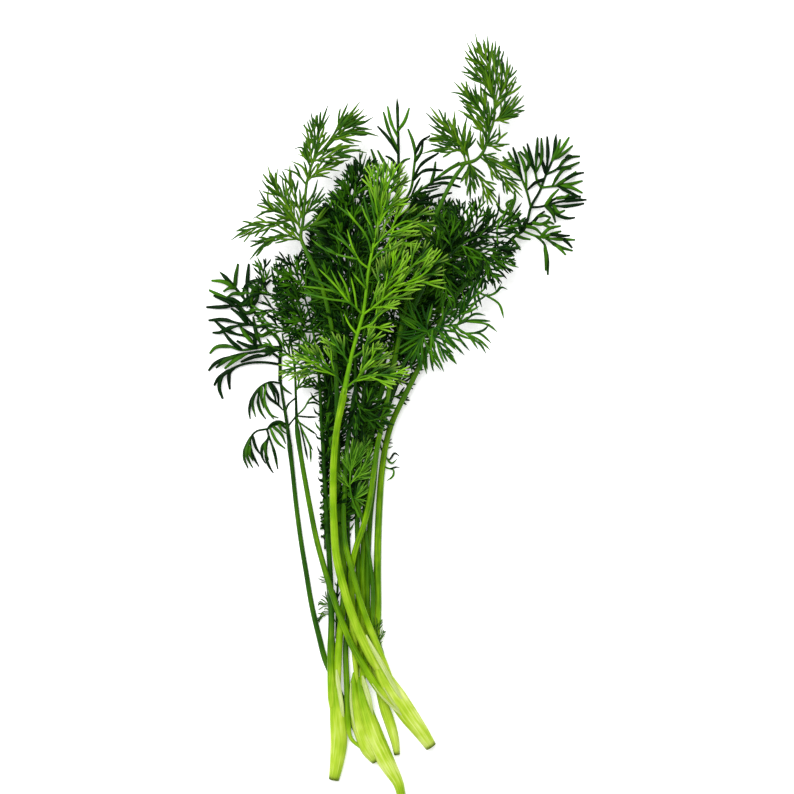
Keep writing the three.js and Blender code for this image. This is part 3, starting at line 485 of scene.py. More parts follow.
# The rounded strands along many paths, each with its own colour draw, and how near its tip each ring is.
def strands(paths, radii, shade, along):
    side, upper = frames(paths)[1:]
    paths = paths.copy()
    paths[..., 2] = np.maximum(paths[..., 2], radii + FLOOR_CLEAR)
    turn = np.linspace(0, 2 * np.pi, THREAD_SIDES, endpoint=False)
    wide = radii[..., None] * np.cos(turn)
    tall = radii[..., None] * np.sin(turn) * THREAD_HEIGHT
    rings = paths[:, :, None] + wide[..., None] * side[:, :, None] + tall[..., None] * upper[:, :, None]
    rows, count = radii.shape
    values = {
        "shade": np.repeat(shade, count * THREAD_SIDES),
        "along": np.repeat(along.ravel(), THREAD_SIDES),
    }
    return rings.reshape(-1, 3), ring_faces(rows, count, THREAD_SIDES), values


# Curved threads that leave their rib at one angle and end at another.
def sprout(starts, headings, lengths, angles, ends, lifts):
    side = unit(np.cross(headings, (0, 0, 1)))
    upper = np.cross(side, headings)
    early = headings * np.cos(angles)[:, None] + side * np.sin(angles)[:, None]
    late = headings * np.cos(ends)[:, None] + side * np.sin(ends)[:, None]
    early = unit(early + upper * np.tan(lifts)[:, None])
    late = unit(late + upper * np.tan(lifts * 0.6)[:, None])
    return starts, early, late, lengths


# Where each thread is at a share of its length, and which way it heads there.
def sprout_at(grown, s):
    starts, early, late, lengths = grown
    s = np.broadcast_to(s, lengths.shape)[:, None]
    place = starts + lengths[:, None] * (early * (s - s * s / 2) + late * (s * s / 2))
    return place, unit(early * (1 - s) + late * s)


def sprout_strands(grown, size, shade, along):
    paths = np.stack([sprout_at(grown, s)[0] for s in THREAD_RINGS], axis=1)
    return strands(paths, size[:, None] * THREAD_SWELL, shade, np.tile(along, (len(size), 1)))


CROWD_ROOM = 20000
CROWD_PLACES = np.array([0.5, 0.75, 1.0])
SHORTER = (1.0, 0.85, 0.7, 0.55)


def add_spots(crowd, spots):
    crowd["spots"][crowd["count"]:crowd["count"] + len(spots)] = spots
    crowd["count"] += len(spots)


# Which threads keep clear of all earlier ones, seen from above, and how much shorter each has to be.
def thin_out(grown, crowd, clear, least):
    starts, early, late, lengths = grown
    kept = np.zeros(len(lengths), bool)
    lengths = lengths.copy()
    for i in range(len(lengths)):
        if clear == 0:
            kept[i] = True
            continue
        near = crowd["spots"][:crowd["count"]]
        near = near[np.max(np.abs(near - starts[i, :2]), axis=1) < lengths[i] + clear]
        for share in SHORTER:
            one = (starts[i:i + 1], early[i:i + 1], late[i:i + 1], lengths[i:i + 1] * share)
            spots = np.concatenate([sprout_at(one, s)[0][:, :2] for s in CROWD_PLACES])
            gaps = np.linalg.norm(near[:, None] - spots[None], axis=2)
            if lengths[i] * share > least and (gaps.size == 0 or gaps.min() > clear):
                kept[i] = True
                lengths[i] *= share
                add_spots(crowd, spots)
                break
    return (starts[kept], early[kept], late[kept], lengths[kept]), kept


RIB_RINGS = 48
SIDE_RINGS = 24
ROOT_SUNK = 2.5
RISE_RUN = 20
MOST_BARE = 6


# A side rib along its route, from the nearest place on the ribs before it.
def side_rib(route, lines, look, draw):
    trunk = np.concatenate(lines)
    near = trunk[np.argmin(np.linalg.norm(trunk[:, :2] - route[0], axis=1))]
    length = route_length(route)
    rise = draw.uniform(-1, 1) * look["rise"]
    arch = draw.uniform(0.3, 1) * look["arch"]
    path = np.zeros((len(route), 3))
    path[:, :2] = route
    path[0, :2] = near[:2]
    line = smooth(path, SIDE_RINGS)
    s = np.linspace(0, 1, SIDE_RINGS)
    line[:, 2] = near[2] + rise * s * length / RISE_RUN + arch * np.sin(np.pi * s) - look["droop"] * s ** 2
    places = length - np.array([1, 0.6, 0.3, 0]) * look["swell"]
    size = np.interp(s * length, places, look["tip"] * np.array([0, 1, 0.9, look["blunt"]]))
    size = np.maximum(size, np.where(s * length < places[1], look["side"], 0))
    return line, strands(line[None], size[None], np.array([draw.uniform()]), 0.6 * s[None] ** 2)


# Threads in uneven pairs down each rib, longer and wider apart toward its foot.
def thread_pairs(carriers, look, draw):
    starts, headings, lengths, angles, lifts = [], [], [], [], []
    for line in carriers:
        run = np.concatenate([[0], np.cumsum(np.linalg.norm(np.diff(line, axis=0), axis=1))])
        total = run[-1]
        heading = frames(line)[0]
        at = total - look["first"] * draw.uniform(0.8, 1.0)
        while at > min(look["bare"] * total, MOST_BARE):
            first = draw.choice([-1, 1])
            for hand in (first, -first):
                spot = at - (hand != first) * draw.uniform(0.1, 0.5) * look["gap"]
                rest = total - spot
                starts.append([np.interp(spot, run, line[:, k]) for k in range(3)])
                headings.append([np.interp(spot, run, heading[:, k]) for k in range(3)])
                reach = min(look["end"] + look["full"] * (rest - look["end"]), look["reach"])
                lengths.append(reach * draw.uniform(0.86, 1.08))
                wide = np.interp(rest, [look["end"], 2 * look["reach"]], [0.8, 1.2])
                angles.append(hand * np.radians(look["spread"] * wide + draw.uniform(-5, 5)))
                lifts.append(np.radians(draw.normal(0, look["bushy"])))
            at -= look["gap"] * draw.uniform(0.85, 1.15)
    return [np.array(part) for part in (starts, headings, lengths, angles, lifts)]


FORK_BEND = 0.6
FORK_CLEAR = 0.8
FORK_LEAST = 1.5


# One fork on each thread that is long enough for it.
def forks(grown, angles, shade, fork, look, crowd, draw):
    place, hand, share, least = fork
    picked = grown[3] > least
    chosen = tuple(part[picked] for part in grown)
    count = picked.sum()
    where, heading = sprout_at(chosen, place + draw.uniform(-0.07, 0.07, count))
    long = chosen[3] * share * draw.uniform(0.85, 1.1, count)
    turn = np.clip(look["tips"] / (0.8 * long), 0.2, 0.5) + np.radians(draw.uniform(-3, 3, count))
    turn = np.sign(angles[picked]) * hand * turn
    lift = np.radians(draw.normal(0, look["bushy"], count))
    twigs = sprout(where, heading, long, turn, turn * FORK_BEND, lift)
    twigs, kept = thin_out(twigs, crowd, look["clear"] * FORK_CLEAR, FORK_LEAST)
    count = kept.sum()
    size = look["thread"] * draw.uniform(0.8, 1.0, count)
    tint = np.clip(shade[picked][kept] + draw.uniform(-0.25, 0.25, count), 0, 1)
    return sprout_strands(twigs, size, tint, 0.35 + 0.65 * THREAD_RINGS)


# A leaf blade. Side ribs leave the main rib or an earlier side rib where their routes start. Leafy
# threads then grow along the sides and the main rib's tip, but not along the bare ones.
def blade(name, rib, sides, look, seed, paint, replaced, full_tip=0.8, bare_sides=()):
    draw = np.random.default_rng(seed)
    rib = np.array(rib, float)
    main = smooth(np.concatenate([rib[:1] - unit(rib[1] - rib[0]) * ROOT_SUNK, rib]), RIB_RINGS)
    size = np.interp(np.linspace(0, 1, RIB_RINGS), [0, 0.15, 0.8, 0.94, 1],
                     [look["joint"], look["rib"], look["side"], look["tip"], look["tip"] * 0.2])
    lots = [strands(main[None], size[None], np.array([look["rib_tone"]]), np.zeros((1, RIB_RINGS)))]
    lines = [main]
    for route in [*sides, *bare_sides]:
        line, lot = side_rib(np.array(route, float), lines, look, draw)
        lines.append(line)
        lots.append(lot)
    carriers = lines[1:1 + len(sides)]
    if full_tip < 1:
        carriers = [main[int(RIB_RINGS * full_tip):], *carriers]
    starts, headings, lengths, angles, lifts = thread_pairs(carriers, look, draw)
    if len(starts) == 0:
        return piece_of(name, lots, paint, replaced)
    crowd = {"spots": np.zeros((CROWD_ROOM, 2)), "count": 0}
    for line in lines:
        add_spots(crowd, line[6::2, :2])
    grown = sprout(starts, unit(headings), lengths, angles, angles * look["bend"], lifts)
    grown, kept = thin_out(grown, crowd, look["clear"], look["end"] * 0.6)
    count = kept.sum()
    shade = draw.uniform(0, 1, count)
    size = look["thread"] * draw.uniform(0.85, 1.1, count)
    lots.append(sprout_strands(grown, size, shade, THREAD_RINGS))
    for fork in look["forks"]:
        lots.append(forks(grown, angles[kept], shade, fork, look, crowd, draw))
    return piece_of(name, lots, paint, replaced)


PATCH_SCALE = 160.0
PATCH_SHARE = 0.55
DRAW_SHARE = 0.6
GRIT_SCALE = 2600.0


# Leaf colour: a draw for each thread, soft patches, and its own tint toward the tip. The draw spans
# from deep to light, partly as each thread's own tone and partly as painted shade on the darkest
# threads and painted highlight on the lightest. A fine grit gives a little gloss and relief.
def leaf_paint(name, deep, middle, light, tip, shine):
    paint, shader = new_paint(name)
    shade = add_node(paint, "ShaderNodeAttribute", attribute_name="shade")
    along = add_node(paint, "ShaderNodeAttribute", attribute_name="along")
    place = add_node(paint, "ShaderNodeTexCoord")
    patches = noise(paint, place, "Object", PATCH_SCALE, 2.0)
    lessened = add_node(paint, "ShaderNodeMath", operation="MULTIPLY")
    lessened.inputs[1].default_value = PATCH_SHARE
    join(paint, patches, "Fac", lessened, 0)
    mixed = add_share(paint, shade, DRAW_SHARE, lessened, "Value")
    tones = ramp(paint, mixed, "Value", [(0.15, deep), (0.5, middle), (0.9, light)])
    toward_tip = add_node(paint, "ShaderNodeMapRange")
    toward_tip.inputs["From Min"].default_value = 0.5
    toward_tip.inputs["To Max"].default_value = 0.5
    join(paint, along, "Fac", toward_tip, "Value")
    tip_mix = add_node(paint, "ShaderNodeMix", data_type="RGBA")
    tip_mix.inputs["B"].default_value = tip
    join(paint, toward_tip, "Result", tip_mix, "Factor")
    join(paint, tones, "Color", tip_mix, "A")
    join(paint, tip_mix, "Result", shader, "Base Color")
    grit = noise(paint, place, "Object", GRIT_SCALE, 2.0)
    roughen(paint, shader, grit, 0.36, 0.58, 0.25, 0.08)
    shader.inputs["Specular IOR Level"].default_value = shine
    return paint


bright_paint = leaf_paint("leaf_bright", linear(9, 44, 0), linear(44, 92, 0), linear(102, 156, 3),
                          linear(148, 186, 64), 0.1)
# A look gives half widths in mm: the main rib at its joint with the stalk and above it, the side ribs
# and their leafy tips, and the threads. "rib_tone" is how light the main rib is, from 0 to 1. A side
# rib's last part, "swell" mm long, widens into the tip and ends more or less "blunt". Over 20 mm of its
# length it rises or sinks by up to "rise" mm; it arches by up to "arch" and its tip droops. Pairs of
# threads stand a "gap" apart, the first one so far from the tip, and leave a share of the foot "bare".
# A thread is "end" mm long near the tip and "reach" at most, and grows by "full" of each mm between. It
# leaves its rib by "spread" degrees and ends with "bend" of them, and stands up or down by about
# "bushy". A fork has a place on the thread, a hand, a share of the thread's length, and the shortest
# thread that has one. "tips" is how far apart the ends of a fork are, and "clear" the space that
# threads keep, seen from above.
FRONT_LOOK = {
    "joint": 1.28, "rib": 0.85, "rib_tone": 0.8, "side": 0.47, "tip": 0.44, "swell": 8.5, "blunt": 0.15,
    "rise": 5.0, "arch": 3.0, "droop": 1.5,
    "thread": 0.44, "gap": 4.4, "first": 8.5, "bare": 0.14, "end": 8.5, "full": 0.5, "reach": 13.0,
    "spread": 28, "bend": 0.55, "bushy": 14, "clear": 0.3,
    "forks": [(0.3, 1, 0.66, 5.0), (0.5, -1, 0.48, 8.5)], "tips": 1.7,
}
blade("blade_front", [
    (-20.6, 12.5, 24), (-19.3, 19, 25.5), (-17.5, 27, 27), (-15.2, 35, 28.5), (-13.4, 41.5, 29.5),
    (-12.2, 50, 30.5), (-11.2, 58.5, 31), (-9.8, 66, 31.3), (-8, 75, 31), (-5.8, 86, 30), (-3.2, 103, 27),
], [
    [(-20.8, 12.8), (-26, 19.3), (-34, 20.7), (-47, 19)], [(-26, 19.3), (-32, 23.5), (-41, 26)],
    [(-20.2, 12.8), (-14.5, 16.5), (-7, 17.5), (5, 16.5)], [(-14.5, 16.5), (-11, 22), (-3, 29)],
    [(-18.5, 22.5), (-21.5, 26), (-28, 34)], [(-18.3, 23), (-13, 27.5), (-8, 37)],
    [(-15.2, 35), (-9.5, 38), (-6, 46), (-2.5, 53)], [(-13.2, 42), (-7, 46), (0, 51.5), (12, 58)],
    [(-5, 48), (-2, 58), (3, 70)], [(-6, 47.4), (-4, 56), (-2.4, 66)], [(0, 51.5), (6, 60), (14.5, 69)],
    [(3, 54), (9, 56), (18, 66)], [(-10.5, 61), (-6.5, 66), (1, 69.5), (9, 69)],
    [(-9.6, 68), (-3, 74), (4, 78), (15, 73.5)], [(-8, 75), (-3, 83), (4.5, 88)],
    [(-7.8, 76), (-2, 90), (5, 96)], [(-7, 80), (-7.8, 92), (-7, 102)],
    [(-6.3, 84), (-2, 95), (1.5, 101)],
], FRONT_LOOK, 1, bright_paint, ["frond_front"], 0.8, [
    [(-15.6, 34), (-18.6, 37), (-21, 42)], [(-13.4, 41.5), (-18, 45.4), (-27, 47.2), (-38, 50)],
    [(-17, 44.8), (-24, 50), (-30, 51.4), (-37.6, 52.4)], [(-21, 47.6), (-28, 52.8), (-36.4, 56.2)],
    [(-18.6, 46.2), (-24.6, 53), (-31, 59.4)], [(-19, 47), (-22.6, 52), (-26, 58.8)],
    [(-18, 46), (-20, 52), (-23.3, 58.4)], [(-15.6, 43.4), (-16.6, 49), (-18.2, 56.2)],
    [(-12.2, 50.4), (-14.6, 54), (-17.8, 57.9)], [(-12, 52), (-13.8, 57), (-14.9, 62)],
    [(-11.2, 58.6), (-14.4, 61.8), (-16.6, 65.4), (-19.6, 74.6)],
    [(-15.6, 63.4), (-20, 69), (-24.6, 75.2)], [(-16.4, 65), (-21, 69.4), (-27.2, 73.4)],
    [(-15.4, 63), (-23, 64.6), (-29.6, 67.6), (-34, 71.2)], [(-24, 65), (-26, 66.4), (-28.4, 68)],
    [(-10, 65), (-11.6, 71), (-16.6, 77.8), (-23.6, 84.2)], [(-15, 76), (-17.6, 79), (-19.8, 82.4)],
    [(-9.2, 69.6), (-10.8, 74), (-11.9, 78)], [(-8.8, 71.4), (-11.4, 80), (-13.3, 88)],
    [(-10, 76), (-12.4, 80), (-14, 84.4)], [(-8, 75.4), (-9.6, 83), (-10, 88.8)],
    [(-7.6, 78), (-10.4, 88), (-11.8, 95.6)], [(-7.2, 80), (-8.8, 89), (-8.9, 96.4)],
    [(-6.4, 84), (-5.6, 94), (-4.9, 102.4)],
])

# --- Middle green plumes and sprigs ---
# Older blades stand out at the upper left and top right, and three small ones sit low among the stalks.
# The plumes' threads are a little thicker than the front blade's, and the small blades' are finer.
mid_paint = leaf_paint("leaf_mid", linear(12, 42, 0), linear(36, 76, 1), linear(78, 114, 5),
                       linear(40, 84, 6), 0.08)
PLUME_LOOK = {
    "joint": 0.92, "rib": 0.7, "rib_tone": 0.55, "side": 0.46, "tip": 0.56, "swell": 13.0, "blunt": 0.25,
    "rise": 2.5, "arch": 1.4, "droop": 1.5,
    "thread": 0.5, "gap": 3.4, "first": 10.0, "bare": 0.02, "end": 5.5, "full": 0.5, "reach": 8.5,
    "spread": 22, "bend": 0.3, "bushy": 11, "clear": 0.5,
    "forks": [(0.3, 1, 0.66, 7.5)], "tips": 1.7,
}
blade("blade_left_plume", [
    (-36.6, 67.8, 22), (-38.1, 71.6, 22), (-37.3, 78, 22), (-36.5, 87, 22), (-35.5, 95, 21.5),
    (-32.4, 103.6, 21), (-28.4, 108.2, 20.5), (-24.4, 114.2, 19.5), (-22.4, 119, 18.6),
    (-19.3, 126, 17.5),
], [
    [(-33.2, 101.5), (-34.6, 108), (-35.2, 112), (-36.8, 117.2)],
    [(-34.4, 107), (-36, 111.4), (-38, 113.9)],
    [(-32.4, 103.4), (-32.4, 110), (-33, 115.5), (-34.3, 122.2)],
    [(-31.8, 104.4), (-31.2, 112), (-29.4, 118.5), (-27.4, 124.5)],
    [(-30.2, 114.6), (-28.8, 117), (-26.6, 120.8)], [(-24.4, 114.4), (-20.5, 118.4), (-14.8, 126)],
    [(-22.8, 116.4), (-20, 119.4), (-17.4, 123)],
    [(-26.6, 111), (-21, 115.2), (-16.4, 119.6), (-13, 123.2)],
    [(-21.4, 115), (-17, 117.6), (-11.7, 120.8)], [(-19.5, 116.4), (-14.5, 117), (-9.4, 119.8)],
    [(-27.8, 109), (-22, 112.6), (-16, 114.9), (-9.8, 115.2)],
    [(-21.5, 112.8), (-14, 113.7), (-7.3, 112.2)], [(-24, 111.4), (-19, 110.9), (-14, 110)],
    [(-31.6, 104.4), (-27, 106.8), (-21, 108.2), (-15.1, 108.6)],
    [(-31.8, 102), (-24, 104.8), (-18, 106.6), (-12.1, 105.6)],
    [(-24, 104.7), (-20, 104.5), (-16.3, 103.6)], [(-35.2, 93.6), (-31, 98.6), (-25, 101.6), (-19, 103)],
    [(-32.8, 96.8), (-28.6, 98.9), (-22.8, 98.5)], [(-33.8, 95.4), (-30, 96.4), (-25.9, 95.5)],
    [(-34, 100), (-36.4, 104.6), (-37.8, 107.6), (-40.7, 107.2)],
    [(-36.3, 103.4), (-38, 104.4), (-39.2, 105)], [(-35.4, 96), (-37.6, 100), (-42, 102.4)],
    [(-35.8, 93), (-40, 97.4), (-45.2, 99.4)],
    [(-37.4, 74.6), (-40.4, 79.4), (-45, 86.8), (-48, 91), (-51.3, 100.5)],
    [(-46.6, 88.8), (-47.8, 93.6), (-47.3, 99.2)], [(-45.4, 87.4), (-50, 90.4), (-53.8, 95)],
    [(-39.4, 78), (-44.4, 81), (-49.6, 83.4), (-54.8, 91)], [(-48.6, 83), (-51, 86.6), (-50.9, 91.4)],
    [(-50, 83.6), (-52.8, 85.4), (-55.6, 85.2)], [(-43, 80.4), (-50, 82.4), (-57, 79.4)],
    [(-38, 72.6), (-44, 77.6), (-52, 76.4), (-60, 74.4), (-65.7, 70.7)],
    [(-52, 76.3), (-58, 76.6), (-63.7, 74.6)], [(-38, 71), (-46, 73), (-53, 69), (-58.5, 63)],
    [(-40.6, 79.8), (-42.6, 84), (-44.4, 89), (-45.6, 95.8)],
    [(-37.2, 79), (-39.8, 86), (-42.4, 93), (-42.4, 101.2)], [(-37, 80), (-33.4, 85), (-29, 92)],
    [(-36.8, 84), (-33.4, 88.6), (-31.4, 95)], [(-37.4, 74), (-32.4, 78), (-27, 84)],
], PLUME_LOOK, 2, mid_paint, ["frond_left_plume"])
blade("blade_top_right", [
    (27.3, 101.5, 21.5), (31.3, 102.8, 21.4), (34.4, 106.5, 21), (36, 112, 20.6), (37.9, 117, 20),
    (38.7, 122, 19.6), (38.1, 131, 18.5), (36.8, 140.3, 17), (36, 152.7, 15),
], [
    [(38.4, 118.3), (41.8, 119.7), (45.2, 120.6), (49.6, 122.2)],
    [(40.8, 119.6), (45, 122.6), (48, 125.8), (50.5, 128.7)],
    [(39.4, 119), (43, 122.8), (45.6, 126.2), (48.5, 129.9)],
    [(38.8, 122.6), (42, 126.6), (44.6, 129.8), (47.7, 136.1)],
    [(38.7, 124), (41.8, 130), (43.8, 134.4), (44.8, 139.3)], [(42.6, 131.6), (43.4, 137.6), (43.8, 144)],
    [(40.8, 128.4), (41.5, 136), (41.7, 144.6)], [(38.5, 128), (39.6, 138), (40.8, 148.2)],
    [(38, 132.6), (38.5, 142), (39.2, 150.5)], [(37.4, 136), (34.8, 143.5), (32.6, 147), (31.1, 153.2)],
    [(34.6, 143.8), (31.8, 146), (29.2, 150.7)],
    [(37.8, 132.5), (33.8, 139), (30.6, 143.6), (27.8, 149.4)],
    [(32.6, 140.6), (29, 143.4), (26.7, 146.9)],
    [(38.2, 129), (33.2, 135.6), (29.4, 140.4), (26.9, 143.9)],
    [(38.3, 127.4), (34, 133.2), (30.5, 134.6), (26.3, 137.2)],
    [(36.6, 113.4), (35, 119), (30.4, 127), (28.3, 132.5)], [(34, 121), (28, 127.4), (22.5, 133.7)],
    [(30.6, 125), (26.4, 128.2), (20.9, 129.8)], [(36.4, 113), (33, 119.6), (29.6, 122.6), (25.2, 126.1)],
    [(37, 114.8), (35.4, 122), (34.6, 127), (35.2, 133.2)], [(35.2, 123), (33.4, 128), (33.2, 133.6)],
    [(34.2, 123), (31.6, 128), (30.8, 133.8)], [(35.8, 111), (32.6, 117), (29.4, 119.6), (24, 122.7)],
    [(27.5, 101.8), (25.5, 107.5), (20.5, 113.8), (13, 124)], [(21.6, 112.4), (17, 115.7), (11.3, 121.5)],
    [(24, 109.8), (18, 113.2), (12.2, 117.2)], [(25.2, 108), (18, 110.7), (11.1, 110.7)],
    [(25, 108.2), (22.6, 115), (23, 122.7)], [(26.6, 104), (26, 112), (27.8, 120)],
    [(26.4, 105), (28.8, 109.6), (30.6, 113.9)], [(25.9, 106.5), (18, 107), (9.9, 105.2)],
    [(28, 102), (27.6, 108), (29.5, 117)], [(34, 105), (38.2, 102), (43, 101), (49, 96)],
    [(33, 104), (40, 98), (50, 88)], [(28.6, 101.5), (29, 94), (29, 86)],
    [(29, 101.6), (35, 92), (41, 84)], [(34.4, 106.5), (33.2, 110), (33, 115)],
    [(35.4, 109), (36.6, 113), (36.2, 118)], [(35.2, 108), (39.8, 110), (40.6, 117)],
], PLUME_LOOK, 3, mid_paint, ["frond_top_right"])

# The small blade among the stalks is paler, with fine threads set close together.
pale_paint = leaf_paint("leaf_pale", linear(12, 54, 0), linear(46, 94, 2), linear(94, 146, 22),
                        linear(122, 168, 60), 0.1)
SMALL_LOOK = dict(PLUME_LOOK, joint=0.76, rib=0.5, side=0.26, tip=0.27, swell=6.0, rise=1.5, arch=0.8,
                  thread=0.23, gap=1.25, first=4.5, end=5.0, reach=8.0, clear=0.2, tips=1.3)
blade("blade_small", [
    (-16, -37.2, 6.6), (-17.6, -33.2, 7.6), (-18.8, -27.5, 9), (-18.5, -20.6, 10.6), (-17.6, -14, 11.4),
    (-16.6, -7.4, 11.8),
], [
    [(-18.8, -27.6), (-21.3, -24.2), (-23.1, -20.4)], [(-18.7, -22), (-20.4, -17), (-21, -12.4)],
    [(-18.4, -20.8), (-16, -15.7), (-14.2, -8.6)], [(-16.4, -16.6), (-13.8, -12), (-12.6, -6.4)],
    [(-18.6, -26), (-13.5, -20.1), (-10.2, -14.8)], [(-15.6, -22), (-12.6, -17.4), (-10.9, -10)],
    [(-16.4, -23.4), (-12.3, -22.6), (-9.6, -20.4)], [(-17.8, -32.6), (-14.7, -29.9), (-11.8, -26.8)],
    [(-16.8, -32), (-14.3, -32.8), (-12.2, -31.4)], [(-16.9, -30.8), (-14.6, -27.4), (-13, -24.6)],
], SMALL_LOOK, 4, pale_paint, ["frond_small"], 0.6)

# Sprigs are the smallest blades, on thin stalks of their own, with a few short threads.
SPRIG_LOOK = dict(SMALL_LOOK, joint=0.48, rib=0.38, side=0.2, swell=3.4, rise=0.8, arch=0.3,
                  thread=0.27, gap=1.6, first=1.6, end=2.0, reach=3.0, spread=30, forks=[])
blade("blade_left_sprig", [
    (-25.9, -86, 1.4), (-27.3, -79, 1), (-28, -71, 1), (-28.9, -61.5, 1),
], [
    [(-27.4, -78.6), (-29.4, -79), (-31.9, -81.8)], [(-27.7, -75), (-29.8, -74.4), (-32.1, -74.8)],
], SPRIG_LOOK, 5, mid_paint, ["frond_left_sprig"], 0.9, [
    [(-27.4, -78.2), (-29.6, -78.4), (-31.4, -80)], [(-27.5, -77.8), (-29.2, -77.6), (-31, -78.6)],
    [(-27.6, -77), (-28.6, -76.4), (-29.6, -77.1)], [(-27.7, -75.4), (-29.8, -75.8), (-31.9, -77.2)],
    [(-27.8, -74.6), (-29.6, -73.2), (-31.2, -72.5)], [(-27.8, -74), (-29, -72), (-30.4, -71)],
    [(-27.9, -73.6), (-28.6, -71.4), (-29, -69.3)], [(-28.6, -65.2), (-30, -65), (-31.9, -64.3)],
    [(-28.6, -65.6), (-29.8, -65.9), (-31, -65.8)], [(-28.7, -64.6), (-30, -63.8), (-31.3, -63.6)],
    [(-28.8, -64.2), (-29.4, -63.2), (-29.8, -62)],
])
blade("blade_right_sprig", [
    (-6.2, -92.4, 1.6), (-7.4, -88, 3), (-8.8, -83.4, 4.4), (-9.8, -78.6, 4.8),
], [
    [(-7, -89.2), (-6.2, -87.2), (-4.8, -85.4)], [(-8, -86), (-7.2, -83.4), (-6.3, -80.8)],
], SPRIG_LOOK, 6, mid_paint, ["frond_right_sprig"], 0.9, [
    [(-6.6, -90.8), (-6.2, -89.8), (-5.6, -89.7)], [(-6.9, -89.6), (-6, -88), (-5, -86.9)],
    [(-7.3, -88.2), (-6.4, -86.4), (-5.9, -84.2)], [(-7.9, -86.2), (-8, -83.8), (-7.4, -81.6)],
    [(-8.6, -84), (-8.2, -81.6), (-8.4, -79.6)], [(-8.9, -83), (-9.8, -81.4), (-11, -78.4)],
    [(-8.6, -83.8), (-9.6, -83), (-10.4, -81.4)],
])
